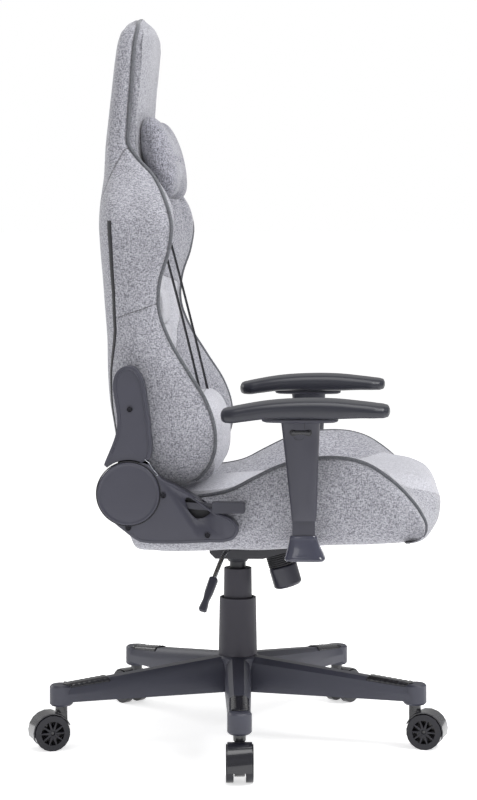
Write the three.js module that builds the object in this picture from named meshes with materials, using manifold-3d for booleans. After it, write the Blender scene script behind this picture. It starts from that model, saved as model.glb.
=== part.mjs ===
// A racing-style gaming chair: five-leg base on twin-wheel casters, gas lift, tilt mechanism, bucket seat,
// reclining wing back with a head pillow and a strapped lumbar pillow, and two height-adjustable armrests.
// Millimetres. +X is the way the sitter faces, +Y the sitter's left, +Z up.
// The origin is on the floor under the gas lift.

import * as THREE from 'three';
import { mergeVertices } from 'three/addons/utils/BufferGeometryUtils.js';
import Module from 'manifold-3d';

// Fits that are shared by many pieces
const fit = 0.3; // gap between a piece and what carries it
const running = 1; // gap between pieces that turn or slide past each other
const overrun = 3; // how far a cut passes through a face

// How finely round shapes are cut
const fineSides = 32;
const roundSides = 18;
const smallSides = 12;
const weldDistance = 0.0001;

// Five-leg base
const base = {
  legCount: 5,
  firstLeg: -86.5, // degrees, the leg that points to the sitter's right
  casterCircle: 317,
  underside: 80,
  hubRadius: 37,
  hubTop: 140,
  hubChamfer: 3,
  legRootHalf: 23,
  legEndHalf: 19,
  legRootTop: 139,
  legEndTop: 107,
  legWaistShare: 0.7,
  bossRadius: 20,
  bossBottom: 73,
  bossTop: 108,
  channelHalf: 13,
  channelStart: 70,
  channelEnd: 282,
  channelDepth: 16,
};

// Casters, each with a hood, a stem, a fixed axle and two spoked wheels
const caster = {
  trail: 20,
  wheelRadius: 30,
  wheelWidth: 12.5,
  webHalf: 8.5,
  sideGap: 1.2,
  hoodHalf: 20,
  hoodWall: 2.2,
  hoodGap: 1.3,
  hoodStart: -16, // degrees from the trailing direction
  hoodEnd: 158,
  webRadius: 21,
  stemRadius: 5.5,
  stemLength: 30,
  collarRadius: 10.5,
  axleRadius: 3,
  axleShare: 0.8,
  spokes: 10,
  wheelSides: 20,
  spokeHalf: 1.3,
  windowOuter: 20,
  windowInner: 7.5,
};

// Gas lift
const lift = {
  tubeRadius: 22.5,
  tubeBottom: 81,
  tubeTop: 234,
  tubeWall: 2,
  floor: 4,
  guideLength: 48,
  cylinderRadius: 14,
  cylinderWall: 2.5,
  cylinderBottom: 165,
  cylinderCap: 8,
  coneBottom: 303,
  coneTop: 324,
  coneTopRadius: 12.6,
  rodRadius: 5,
  rodTop: 232,
  pistonLength: 10,
  footHeight: 8,
  valveRadius: 3,
  valveLength: 9,
  valveDepth: 5,
};
const sleeve = {
  wall: 1.6,
  lowerBottomRadius: 34,
  lowerTopRadius: 32,
  lowerTop: 241,
  lowerLip: 3.2,
  lipThickness: 2,
  upperBottomRadius: 25.3,
  upperTopRadius: 24.2,
  upperBottom: 200,
  upperTop: 292,
  upperWall: 0.8,
};

// Tilt mechanism
const housing = {
  rear: -46,
  front: 108,
  half: 58,
  bottom: 315,
  top: 344,
  wall: 3,
  noseChamfer: 10,
  inclineStart: 46,
  funnelTopRadius: 25,
  funnelBottomRadius: 16.5,
  bossRadius: 19,
  bossTop: 325,
};
const pivot = { x: 60, z: 351, pinRadius: 6, earWidth: 44, earThickness: 4, headLength: 4 };
const tiltPlate = { rear: -92, front: 150, half: 92, thickness: 5 };

// Height lever: a rocker in the housing presses the valve, and a rod with a grip lifts the rocker
const rocker = {
  x: -15,
  halfWidth: 9,
  pivotY: -48,
  z: 334,
  halfHeight: 8,
  reach: 6,
  innerEnd: -20,
  fingerHalf: 4,
  trunnionRadius: 2.5,
  cheek: 4,
  cheekLength: 14,
};
const lever = {
  rodRadius: 4,
  innerEnd: -30,
  bendY: -118,
  endX: -29,
  endY: -200,
  endZ: 304,
  gripTipX: -47,
  gripTipY: -226,
  gripTipZ: 254,
  gripHalf: 7.5,
  gripWaistHalf: 5,
  gripThickness: 12,
  wallHole: 6,
  rodSides: 8,
};

// Tension knob under the front of the housing, leaning forward, with its ribbed boot and spring
const knob = {
  lean: 16, // degrees
  topX: 71,
  radius: 25,
  height: 38,
  rimChamfer: 4,
  boltRadius: 5,
  bootLength: 26,
  bootTip: 24.5,
  bootRoot: 21.5,
  bootBore: 18.5,
  bootRibs: 7,
  padHeight: 4,
};
const spring = { meanRadius: 13, wireRadius: 2.2, turns: 5, steps: 8, sides: 5 };

// Seat
const seat = {
  rear: -161,
  length: 514,
  underside: 358,
  height: 151,
  halfWidth: 255,
  ridgeWidth: 13,
  channel: 4,
  crown: 3,
  bolsterPuff: 9,
};
const board = {
  rear: -135,
  front: 282,
  half: 212,
  bottom: 374,
  thickness: 12,
  tabWidth: 22,
  tabHeight: 14,
  tabRise: 6,
};
const tabShares = [0.084, 0.266];

// Back
const back = {
  rear: -222,
  depth: 200,
  bottom: 455,
  height: 793,
  halfWidth: seat.halfWidth,
  ridgeWidth: 12,
  channel: 4,
  channelWidth: 16,
  crown: 4,
  bolsterPuff: 8,
};
const backFrame = {
  rear: -174,
  thickness: 8,
  bottom: 482,
  top: 1190,
  lowerHalf: 200,
  upperHalf: 112,
  shoulder: 905,
  neck: 1010,
  member: 24,
  middle: 740,
  bossHeight: 22,
};
const bossShares = [0.059, 0.175];

// How far out from the seat's side the faces of what is mounted beside it lie
const beside = {
  coverInner: 1.6,
  upperPlate: 2,
  leverRecess: 13.5,
  lever: 17,
  upperCover: 30,
  lowerCover: 33,
  paddle: 35,
  disc: 38,
  skirtInner: 7,
  armrest: 52,
};

// Recliner: two steel plates and two plastic covers on each side, about one cross shaft
const recline = {
  x: -163,
  z: 454,
  shaftRadius: 8,
  shaftOverhang: 4,
  plate: 5,
  upperInner: seat.halfWidth + beside.upperPlate,
  plateGap: 1,
  discRadius: 51,
  discOuter: seat.halfWidth + beside.disc,
  coverOuter: seat.halfWidth + beside.lowerCover,
  coverInner: seat.halfWidth + beside.coverInner,
  upperCoverOuter: seat.halfWidth + beside.upperCover,
  coverWall: 2.5,
  upperDisc: 40,
  lowerDisc: 43,
  arcGap: 3.5,
  arcStart: 56, // degrees
  arcEnd: 132,
  lobeRear: -105,
  platesInset: 6,
  postRadius: 5,
};
const lowerLobe = { rear: -205, length: 221, bottom: 373, height: 131 };
const upperShell = { rear: -205, length: 81, bottom: 492, height: 169 };
const reclineLever = {
  x: -85,
  z: 436,
  hubRadius: 9,
  pinRadius: 4,
  inner: seat.halfWidth + beside.lever,
  thickness: 10,
  armHalf: 5.5,
  paddleStart: -27,
  tip: 27,
  paddleHalf: 9,
  paddleOuter: seat.halfWidth + beside.paddle,
  drop: 4,
  recessRear: -62,
  recessBottom: 409,
  recessTop: 470,
  recessFloor: seat.halfWidth + beside.leverRecess,
};

// Armrests
const arm = {
  y: seat.halfWidth + beside.armrest,
  postX: 122.3,
  postWidth: 36.4,
  postDepth: 14,
  postTop: 551,
  barHeight: 6,
  barInner: 118,
  sleeveBottom: 415,
  sleeveTop: 574,
  sleeveBottomRear: 102.5,
  sleeveBottomFront: 142.6,
  sleeveTopRear: 85.5,
  sleeveTopFront: 148.8,
  sleeveBottomDepth: 22,
  sleeveTopDepth: 32,
  plateRear: 55,
  plateFront: 178,
  plateHalf: 26,
  plateThickness: 6,
  skirtBottom: 350,
  skirtTop: 391,
  skirtTopRear: 100.5,
  skirtTopFront: 143.5,
  skirtBottomRear: 91,
  skirtBottomFront: 157,
  skirtTopIn: 13,
  skirtTopOut: 10,
  skirtBottomInner: seat.halfWidth + beside.skirtInner,
  skirtBottomOut: 16,
  buttonZ: 558,
  buttonX: 118,
  buttonWidth: 30,
  buttonHeight: 7,
  buttonDepth: 5.5,
  buttonProud: 1.4,
  buttonPocket: 8,
};
const pad = { rear: -11, length: 272, half: 49, bottom: 573.4, height: 40, travel: 25 };

// Pillows and the straps that hold the lumbar pillow
const headPillow = { x: -122, z: 1006, halfLength: 145, halfHeight: 70, halfDepth: 31 };
const lumbarPillow = { x: -60, z: 529, halfLength: 142, halfHeight: 68, halfDepth: 47 };
const strap = { y: 95, width: 20, thickness: 2.4, topX: -151, topZ: 957, bottomX: -52, bottomZ: 570 };

const degrees = Math.PI / 180;
const axisX = new THREE.Vector3(1, 0, 0);
const axisY = new THREE.Vector3(0, 1, 0);
const axisZ = new THREE.Vector3(0, 0, 1);
const wasm = await Module();
wasm.setup();

// A closed geometry as a solid, turned right side out
function toSolid(geometry) {
  const bare = geometry.clone();
  bare.deleteAttribute('normal');
  bare.deleteAttribute('uv');
  const merged = mergeVertices(bare, weldDistance);
  const solid = solidOf(merged.attributes.position.array, merged.index.array);
  if (solid.volume() > 0) {
    return solid;
  }
  return solidOf(merged.attributes.position.array, Array.from(merged.index.array).reverse());
}

function solidOf(positions, triangles) {
  return new wasm.Manifold(new wasm.Mesh({
    numProp: 3,
    vertProperties: new Float32Array(positions),
    triVerts: new Uint32Array(triangles),
  }));
}

function toGeometry(solid) {
  const mesh = solid.getMesh();
  const geometry = new THREE.BufferGeometry();
  geometry.setAttribute('position', new THREE.BufferAttribute(mesh.vertProperties, mesh.numProp));
  geometry.setIndex(new THREE.BufferAttribute(mesh.triVerts, 1));
  geometry.computeVertexNormals();
  return geometry;
}

// A copy of a solid, moved by a matrix
function placed(solid, matrix) {
  return toSolid(toGeometry(solid).applyMatrix4(matrix));
}
const shift = (x, y, z) => new THREE.Matrix4().makeTranslation(x, y, z);
const turnZ = (angle) => new THREE.Matrix4().makeRotationZ(angle * degrees);
const mirrorMatrix = new THREE.Matrix4().makeScale(1, -1, 1);

// A box between two corners
function block([x0, x1], [y0, y1], [z0, z1]) {
  const geometry = new THREE.BoxGeometry(x1 - x0, y1 - y0, z1 - z0);
  geometry.translate((x0 + x1) / 2, (y0 + y1) / 2, (z0 + z1) / 2);
  return toSolid(geometry);
}

// An outline swept along an axis: (x, y) along Z, (x, z) along Y, (y, z) along X
function prism(outline, axis, [from, to], holes = []) {
  const shape = new THREE.Shape(outline.map(([u, v]) => new THREE.Vector2(u, v)));
  for (const hole of holes) {
    shape.holes.push(new THREE.Path(hole.map(([u, v]) => new THREE.Vector2(u, v))));
  }
  const geometry = new THREE.ExtrudeGeometry(shape, { depth: to - from, bevelEnabled: false });
  if (axis === axisY) {
    geometry.applyMatrix4(new THREE.Matrix4().makeBasis(axisX, axisZ, axisY.clone().negate()));
    geometry.translate(0, to, 0);
  } else if (axis === axisX) {
    geometry.applyMatrix4(new THREE.Matrix4().makeBasis(axisY, axisZ, axisX));
    geometry.translate(from, 0, 0);
  } else {
    geometry.translate(0, 0, from);
  }
  return toSolid(geometry);
}

// A closed (radius, height) profile turned about the Z axis
function turned(profile, sides = roundSides) {
  const geometry = new THREE.LatheGeometry(profile.map(([r, z]) => new THREE.Vector2(r, z)), sides);
  geometry.rotateX(90 * degrees);
  return toSolid(geometry);
}

// A round bar between two points
function bar(radius, from, to, sides = smallSides) {
  const start = new THREE.Vector3(...from);
  const way = new THREE.Vector3(...to).sub(start);
  const geometry = new THREE.CylinderGeometry(radius, radius, way.length(), sides);
  geometry.translate(0, way.length() / 2, 0);
  geometry.applyQuaternion(new THREE.Quaternion().setFromUnitVectors(axisY, way.clone().normalize()));
  geometry.translate(start.x, start.y, start.z);
  return toSolid(geometry);
}

// The triangles of one half of a ring, cut to and fro between its two sides
function zigzag(first, last) {
  const triangles = [];
  let [low, high] = [first, last];
  while (high - low > 1) {
    triangles.push([low, low + 1, high]);
    low += 1;
    if (high - low > 1) {
      triangles.push([low, high - 1, high]);
      high -= 1;
    }
  }
  return triangles;
}

// A skin through rings of points, closed at each end in two halves, so that a hollow face closes cleanly too
function loft(rings) {
  const count = rings[0].length;
  const positions = rings.flat(2);
  const triangles = [];
  for (let r = 0; r < rings.length - 1; r += 1) {
    for (let i = 0; i < count; i += 1) {
      const a = r * count + i;
      const b = r * count + ((i + 1) % count);
      triangles.push(a, b, a + count, b, b + count, a + count);
    }
  }
  const halfway = Math.floor(count / 2);
  for (const [a, b, c] of [...zigzag(0, halfway), ...zigzag(halfway, count)]) {
    const last = (rings.length - 1) * count;
    triangles.push(c % count, b, a);
    triangles.push(last + a, last + b, last + (c % count));
  }
  const geometry = new THREE.BufferGeometry();
  geometry.setAttribute('position', new THREE.Float32BufferAttribute(positions, 3));
  geometry.setIndex(triangles);
  return toSolid(geometry);
}

function arc([cx, cy], radius, from, to, steps) {
  return Array.from({ length: steps + 1 }, (_, i) => {
    const angle = (from + ((to - from) * i) / steps) * degrees;
    return [cx + radius * Math.cos(angle), cy + radius * Math.sin(angle)];
  });
}

function circle(centre, radius, sides = roundSides) {
  return arc(centre, radius, 0, 360 - 360 / sides, sides - 1);
}

// An outline with every edge moved inwards by one distance
function inset(outline, distance) {
  const points = outline.map(([u, v]) => new THREE.Vector2(u, v));
  const turn = THREE.ShapeUtils.isClockWise(points) ? -1 : 1;
  const normal = (from, to) => new THREE.Vector2(from.y - to.y, to.x - from.x).multiplyScalar(turn).normalize();
  return points.map((point, i) => {
    const before = normal(points[(i + points.length - 1) % points.length], point);
    const after = normal(point, points[(i + 1) % points.length]);
    const middle = before.clone().add(after).normalize();
    return point.clone().addScaledVector(middle, distance / middle.dot(before)).toArray();
  });
}

// The points of a table of shares, on a box that starts at (u, v)
function fromShares(shares, [u, v], [width, height]) {
  return shares.map(([a, b]) => [u + a * width, v + b * height]);
}

// The row of a table at one place along it, in a straight line between its neighbours
function rowAt(rows, place) {
  const next = Math.max(1, rows.findIndex((row) => row[0] >= place));
  const [low, high] = [rows[next - 1], rows[next]];
  const t = (place - low[0]) / (high[0] - low[0]);
  return low.map((value, i) => value + (high[i] - value) * t);
}

const chair = new THREE.Group();
const materials = {
  blackPlastic: new THREE.MeshStandardMaterial({ color: 0x3b3a42, roughness: 0.55, metalness: 0 }),
  glossPlastic: new THREE.MeshStandardMaterial({ color: 0x1d1d22, roughness: 0.18, metalness: 0 }),
  nylon: new THREE.MeshStandardMaterial({ color: 0x35343b, roughness: 0.6, metalness: 0 }),
  blackSteel: new THREE.MeshStandardMaterial({ color: 0x222226, roughness: 0.45, metalness: 0.6 }),
  brightSteel: new THREE.MeshStandardMaterial({ color: 0xb9bbc0, roughness: 0.3, metalness: 1 }),
  greyFabric: new THREE.MeshStandardMaterial({ color: 0x8f8f96, roughness: 0.95, metalness: 0 }),
  lightFabric: new THREE.MeshStandardMaterial({ color: 0xb4b5ba, roughness: 0.95, metalness: 0 }),
  webbing: new THREE.MeshStandardMaterial({ color: 0x1e1e20, roughness: 0.9, metalness: 0 }),
  rubber: new THREE.MeshStandardMaterial({ color: 0x18181a, roughness: 0.8, metalness: 0 }),
  foam: new THREE.MeshStandardMaterial({ color: 0x35353b, roughness: 0.75, metalness: 0 }),
  board: new THREE.MeshStandardMaterial({ color: 0x8a6a48, roughness: 0.8, metalness: 0 }),
};

function piece(name, solid, material, parent = chair) {
  const mesh = new THREE.Mesh(toGeometry(solid), material);
  mesh.name = name;
  parent.add(mesh);
  return mesh;
}

// Star base: a moulded hub with five hollow-bottomed legs, each ending in a boss with a socket for a stem
function starBase() {
  const legShares = [
    [-1, 0], [1, 0], [1, 0.45], [0.82, 0.84], [0.45, 1], [-0.45, 1], [-0.82, 0.84], [-1, 0.45],
  ];
  const legRing = (radius, half, top) => legShares.map(([across, up]) => [
    radius,
    across * half,
    base.underside + up * (top - base.underside),
  ]);
  const waistTop = base.legEndTop + (base.legRootTop - base.legEndTop) * (1 - base.legWaistShare);
  const waistRadius = base.hubRadius + (base.casterCircle - base.hubRadius) * base.legWaistShare;
  const leg = loft([
    legRing(base.hubRadius / 2, base.legRootHalf, base.legRootTop),
    legRing(base.hubRadius, base.legRootHalf, base.legRootTop),
    legRing(waistRadius, base.legEndHalf, waistTop),
    legRing(base.casterCircle, base.legEndHalf, base.legEndTop),
  ]);
  const boss = turned([
    [0, base.bossBottom],
    [base.bossRadius - base.hubChamfer, base.bossBottom],
    [base.bossRadius, base.bossBottom + base.hubChamfer],
    [base.bossRadius, base.bossTop - base.hubChamfer],
    [base.bossRadius - base.hubChamfer, base.bossTop],
    [0, base.bossTop],
  ], roundSides);
  const socket = bar(
    caster.stemRadius + fit,
    [base.casterCircle, 0, base.bossBottom - overrun],
    [base.casterCircle, 0, base.bossBottom + caster.stemLength + fit],
  );
  const channel = block(
    [base.channelStart, base.channelEnd],
    [-base.channelHalf, base.channelHalf],
    [base.underside - overrun, base.underside + base.channelDepth],
  );
  const oneLeg = leg.add(placed(boss, shift(base.casterCircle, 0, 0))).subtract(socket).subtract(channel);
  const hub = turned([
    [0, base.underside],
    [base.hubRadius - base.hubChamfer, base.underside],
    [base.hubRadius, base.underside + base.hubChamfer],
    [base.hubRadius, base.hubTop - base.hubChamfer],
    [base.hubRadius - base.hubChamfer, base.hubTop],
    [0, base.hubTop],
  ], fineSides);
  const bore = bar(
    lift.tubeRadius + fit,
    [0, 0, base.underside - overrun],
    [0, 0, base.hubTop + overrun],
    roundSides,
  );
  let star = hub;
  for (let i = 0; i < base.legCount; i += 1) {
    star = star.add(placed(oneLeg, turnZ(base.firstLeg + (360 * i) / base.legCount)));
  }
  return star.subtract(bore);
}
piece('star_base', starBase(), materials.nylon);

// Gas lift: outer tube with its guide bush, piston rod with its thrust foot, and the gas cylinder
const tubeBore = lift.tubeRadius - lift.tubeWall;
const guideBore = lift.cylinderRadius + fit;
piece('lift_outer_tube', turned([
  [0, lift.tubeBottom],
  [lift.tubeRadius, lift.tubeBottom],
  [lift.tubeRadius, lift.tubeTop],
  [guideBore, lift.tubeTop],
  [guideBore, lift.tubeTop - lift.guideLength],
  [tubeBore, lift.tubeTop - lift.guideLength],
  [tubeBore, lift.tubeBottom + lift.floor],
  [0, lift.tubeBottom + lift.floor],
]), materials.blackSteel);

const footBottom = lift.tubeBottom + lift.floor + fit;
const pistonRadius = lift.cylinderRadius - lift.cylinderWall - fit;
piece('piston_rod', turned([
  [0, footBottom],
  [tubeBore - running, footBottom],
  [tubeBore - running, footBottom + lift.footHeight],
  [lift.rodRadius, footBottom + lift.footHeight],
  [lift.rodRadius, lift.rodTop - lift.pistonLength],
  [pistonRadius, lift.rodTop - lift.pistonLength],
  [pistonRadius, lift.rodTop],
  [0, lift.rodTop],
]), materials.brightSteel);

const valveSeat = lift.coneTop - lift.valveDepth;
const cylinderBore = lift.cylinderRadius - lift.cylinderWall;
piece('gas_cylinder', turned([
  [lift.rodRadius + fit, lift.cylinderBottom],
  [lift.cylinderRadius, lift.cylinderBottom],
  [lift.cylinderRadius, lift.coneBottom],
  [lift.coneTopRadius, lift.coneTop],
  [lift.valveRadius + fit, lift.coneTop],
  [lift.valveRadius + fit, valveSeat - lift.valveDepth],
  [0, valveSeat - lift.valveDepth],
  [0, valveSeat - lift.valveDepth - lift.cylinderCap],
  [cylinderBore, valveSeat - lift.valveDepth - lift.cylinderCap],
  [cylinderBore, lift.cylinderBottom + lift.cylinderCap],
  [lift.rodRadius + fit, lift.cylinderBottom + lift.cylinderCap],
  [lift.rodRadius + fit, lift.cylinderBottom],
]), materials.blackSteel);

const rockerUnder = rocker.z - rocker.fingerHalf;
piece('valve_pin', bar(
  lift.valveRadius,
  [0, 0, rockerUnder - fit - lift.valveLength],
  [0, 0, rockerUnder - fit],
), materials.brightSteel);

// Telescoping dust sleeves, both slightly conical, the upper one with a lip round the cylinder
const lowerBottom = base.hubTop + fit;
piece('dust_sleeve_lower', turned([
  [sleeve.lowerBottomRadius, lowerBottom],
  [sleeve.lowerTopRadius, sleeve.lowerTop],
  [sleeve.lowerTopRadius - sleeve.wall - sleeve.lowerLip, sleeve.lowerTop],
  [sleeve.lowerTopRadius - sleeve.wall - sleeve.lowerLip, sleeve.lowerTop - sleeve.lipThickness],
  [sleeve.lowerTopRadius - sleeve.wall, sleeve.lowerTop - sleeve.lipThickness],
  [sleeve.lowerBottomRadius - sleeve.wall, lowerBottom],
  [sleeve.lowerBottomRadius, lowerBottom],
]), materials.blackPlastic);
piece('dust_sleeve_upper', turned([
  [sleeve.upperBottomRadius, sleeve.upperBottom],
  [sleeve.upperTopRadius, sleeve.upperTop],
  [guideBore, sleeve.upperTop],
  [guideBore, sleeve.upperTop - sleeve.lipThickness],
  [sleeve.upperTopRadius - sleeve.upperWall, sleeve.upperTop - sleeve.lipThickness],
  [sleeve.upperBottomRadius - sleeve.upperWall, sleeve.upperBottom],
  [sleeve.upperBottomRadius, sleeve.upperBottom],
]), materials.blackPlastic);

// Tilt housing: an open steel pan with a funnel socket for the cylinder, ears for the pivot pin, cheeks for
// the rocker's trunnions, and a slanted pad that the tension knob's boot stands on
const housingSlope = housing.bottom + housing.noseChamfer;
const knobTurn = knob.lean * degrees;
const knobWay = [Math.sin(knobTurn), 0, -Math.cos(knobTurn)];
const inclineAt = (x) => housing.bottom + (x - housing.inclineStart) * Math.tan(knobTurn);
const knobTopZ = inclineAt(knob.topX);
const alongKnob = (distance) => knobWay.map((part, i) => [knob.topX, 0, knobTopZ][i] + part * distance);

function tiltHousing() {
  const side = [
    [housing.rear, housing.top],
    [housing.rear, housingSlope],
    [housing.rear + housing.noseChamfer, housing.bottom],
    [housing.inclineStart, housing.bottom],
    [housing.front, inclineAt(housing.front)],
    [housing.front, housing.top],
  ];
  const pan = prism(side, axisY, [-housing.half, housing.half]);
  const hollow = prism([
    [housing.rear + housing.wall, housing.top + overrun],
    [housing.rear + housing.wall, housingSlope],
    [housing.rear + housing.noseChamfer + housing.wall / 2, housing.bottom + housing.wall],
    [housing.inclineStart, housing.bottom + housing.wall],
    [housing.front - housing.wall, inclineAt(housing.front) + housing.wall],
    [housing.front - housing.wall, housing.top + overrun],
  ], axisY, [-housing.half + housing.wall, housing.half - housing.wall]);
  const funnel = turned([
    [0, lift.coneBottom],
    [housing.funnelBottomRadius, lift.coneBottom],
    [housing.funnelTopRadius, housing.bottom + housing.wall],
    [housing.bossRadius, housing.bossTop],
    [0, housing.bossTop],
  ]);
  const socket = turned([
    [0, lift.coneBottom - overrun],
    [lift.cylinderRadius + fit, lift.coneBottom - overrun],
    [lift.cylinderRadius + fit, lift.coneBottom],
    [lift.coneTopRadius + fit, lift.coneTop],
    [lift.coneTopRadius + fit, housing.bossTop + overrun],
    [0, housing.bossTop + overrun],
  ]);
  const boltHole = bar(knob.boltRadius + fit, alongKnob(-knob.radius), alongKnob(overrun));
  const pinHole = bar(
    pivot.pinRadius + fit,
    [pivot.x, -housing.half - overrun, pivot.z],
    [pivot.x, housing.half + overrun, pivot.z],
  );
  let solid = pan.subtract(hollow).add(funnel).subtract(socket).subtract(boltHole);
  for (const sign of [-1, 1]) {
    const ear = prism([
      [pivot.x - pivot.earWidth / 2, housing.top - housing.noseChamfer],
      [pivot.x + pivot.earWidth / 2, housing.top - housing.noseChamfer],
      [pivot.x + pivot.pinRadius * 2, pivot.z + pivot.pinRadius * 2],
      [pivot.x - pivot.pinRadius * 2, pivot.z + pivot.pinRadius * 2],
    ], axisY, sign < 0
      ? [-housing.half, -housing.half + pivot.earThickness]
      : [housing.half - pivot.earThickness, housing.half]);
    const cheekX = rocker.x + sign * (rocker.halfWidth + fit);
    const cheek = block(
      sign < 0 ? [cheekX - rocker.cheek, cheekX] : [cheekX, cheekX + rocker.cheek],
      [rocker.pivotY - rocker.cheekLength / 2, rocker.pivotY + rocker.cheekLength / 2],
      [housing.bottom + housing.wall, housing.top],
    );
    solid = solid.add(ear).add(cheek);
  }
  const trunnionHole = bar(
    rocker.trunnionRadius + fit,
    [rocker.x - rocker.halfWidth - rocker.cheek * 2, rocker.pivotY, rocker.z],
    [rocker.x + rocker.halfWidth + rocker.cheek * 2, rocker.pivotY, rocker.z],
  );
  const rodHole = bar(
    lever.wallHole,
    [rocker.x, -housing.half - overrun, rocker.z],
    [rocker.x, -housing.half + housing.wall + overrun, rocker.z],
  );
  return solid.subtract(pinHole).subtract(trunnionHole).subtract(rodHole);
}
piece('tilt_housing', tiltHousing(), materials.blackSteel);

// Pivot pin: it passes through both housing ears and both ears of the tilt plate, and has a head at each end
const earInner = housing.half + running;
const earOuter = earInner + pivot.earThickness;
function pivotPin() {
  const shank = bar(
    pivot.pinRadius,
    [pivot.x, -earOuter - overrun, pivot.z],
    [pivot.x, earOuter + overrun, pivot.z],
  );
  const head = (from) => bar(
    pivot.pinRadius * 1.5,
    [pivot.x, from, pivot.z],
    [pivot.x, from + pivot.headLength, pivot.z],
  );
  return shank.add(head(earOuter + fit)).add(head(-earOuter - fit - pivot.headLength));
}
piece('tilt_pivot_pin', pivotPin(), materials.brightSteel);

// Tilt plate: the moving top of the mechanism, bolted under the seat board, with an ear on each side
function topPlate() {
  const top = board.bottom - fit;
  let plate = block(
    [tiltPlate.rear, tiltPlate.front],
    [-tiltPlate.half, tiltPlate.half],
    [top - tiltPlate.thickness, top],
  );
  for (const [inner, outer] of [[-earOuter, -earInner], [earInner, earOuter]]) {
    plate = plate.add(prism([
      [pivot.x - pivot.pinRadius * 2, pivot.z - pivot.pinRadius * 2],
      [pivot.x + pivot.pinRadius * 2, pivot.z - pivot.pinRadius * 2],
      [pivot.x + pivot.earWidth / 2, top - tiltPlate.thickness / 2],
      [pivot.x - pivot.earWidth / 2, top - tiltPlate.thickness / 2],
    ], axisY, [inner, outer]));
  }
  return plate.subtract(bar(
    pivot.pinRadius + fit,
    [pivot.x, -earOuter - overrun, pivot.z],
    [pivot.x, earOuter + overrun, pivot.z],
  ));
}
piece('tilt_plate', topPlate(), materials.blackSteel);

// Rocker: a block on two trunnions with a bore for the lever's rod and a finger over the valve pin
function leverRocker() {
  const body = block(
    [rocker.x - rocker.halfWidth, rocker.x + rocker.halfWidth],
    [rocker.pivotY - rocker.reach, rocker.innerEnd],
    [rocker.z - rocker.halfHeight, rocker.z + rocker.halfHeight],
  );
  const finger = block(
    [rocker.x - rocker.halfWidth, rocker.reach],
    [rocker.innerEnd - overrun, rocker.reach],
    [rockerUnder, rocker.z + rocker.fingerHalf],
  );
  const trunnions = bar(
    rocker.trunnionRadius,
    [rocker.x - rocker.halfWidth - rocker.cheek, rocker.pivotY, rocker.z],
    [rocker.x + rocker.halfWidth + rocker.cheek, rocker.pivotY, rocker.z],
  );
  const bore = bar(
    lever.rodRadius + fit,
    [rocker.x, rocker.pivotY - rocker.reach - overrun, rocker.z],
    [rocker.x, lever.innerEnd + running * 2, rocker.z],
  );
  return body.add(finger).add(trunnions).subtract(bore);
}
piece('lever_rocker', leverRocker(), materials.blackSteel);

// Height lever: a bent rod from the rocker out to the sitter's right and down, with a wavy flat grip
function leverRod(extra) {
  const route = new THREE.CatmullRomCurve3([
    new THREE.Vector3(rocker.x, lever.innerEnd, rocker.z),
    new THREE.Vector3(rocker.x, -housing.half, rocker.z),
    new THREE.Vector3(rocker.x, lever.bendY * 0.9, rocker.z),
    new THREE.Vector3(
      rocker.x + (lever.endX - rocker.x) * 0.25,
      lever.bendY * 1.12,
      rocker.z - lever.rodRadius,
    ),
    new THREE.Vector3(lever.endX, lever.endY, lever.endZ),
    new THREE.Vector3(
      lever.endX + (lever.gripTipX - lever.endX) * 0.55,
      lever.endY + (lever.gripTipY - lever.endY) * 0.55,
      lever.endZ + (lever.gripTipZ - lever.endZ) * 0.55,
    ),
  ], false, 'centripetal');
  const section = new THREE.Shape(
    circle([0, 0], lever.rodRadius + extra, lever.rodSides).map(([u, v]) => new THREE.Vector2(u, v)),
  );
  return toSolid(new THREE.ExtrudeGeometry(section, { steps: 14, bevelEnabled: false, extrudePath: route }));
}
piece('height_lever_rod', leverRod(0), materials.blackSteel);

function leverGrip() {
  const start = new THREE.Vector3(lever.endX, lever.endY, lever.endZ);
  const way = new THREE.Vector3(lever.gripTipX, lever.gripTipY, lever.gripTipZ).sub(start);
  const length = way.length();
  const wide = axisX.clone().addScaledVector(way.clone().normalize(), -way.clone().normalize().x).normalize();
  const flat = new THREE.Vector3().crossVectors(way, wide).normalize();
  const widths = [
    [0, lever.gripHalf * 0.8],
    [0.04, lever.gripHalf],
    [0.45, lever.gripHalf * 0.93],
    [0.68, lever.gripWaistHalf],
    [0.85, lever.gripHalf * 0.86],
    [0.97, lever.gripHalf * 0.9],
    [1, lever.gripHalf * 0.7],
  ];
  const cornerShares = [[-1, -0.6], [-0.7, -1], [0.7, -1], [1, -0.6], [1, 0.6], [0.7, 1], [-0.7, 1], [-1, 0.6]];
  const rings = widths.map(([share, half]) => cornerShares.map(([a, b]) => start.clone()
    .addScaledVector(way, share)
    .addScaledVector(wide, a * half)
    .addScaledVector(flat, (b * lever.gripThickness) / 2)
    .toArray()));
  const socketEnd = bar(
    lever.rodRadius + fit,
    start.clone().addScaledVector(way, 0.5).toArray(),
    start.clone().addScaledVector(way, 0.55 + fit / length).toArray(),
  );
  return loft(rings).subtract(leverRod(fit)).subtract(socketEnd);
}
piece('height_lever_grip', leverGrip(), materials.blackPlastic);

// Tension knob with its bolt, the spring round the bolt, and the ribbed boot round the spring
const knobMatrix = new THREE.Matrix4()
  .makeRotationY((180 - knob.lean) * degrees)
  .setPosition(knob.topX, 0, knobTopZ);
const tilted = (solid) => placed(solid, knobMatrix);
const knobTop = knob.bootLength + fit * 2;
piece('tension_knob', tilted(turned([
  [0, -knob.padHeight],
  [knob.boltRadius, -knob.padHeight],
  [knob.boltRadius, knobTop],
  [knob.radius - knob.rimChamfer / 2, knobTop],
  [knob.radius, knobTop + knob.rimChamfer / 2],
  [knob.radius, knobTop + knob.height - knob.rimChamfer],
  [knob.radius - knob.rimChamfer, knobTop + knob.height],
  [0, knobTop + knob.height],
])), materials.blackPlastic);

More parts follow.
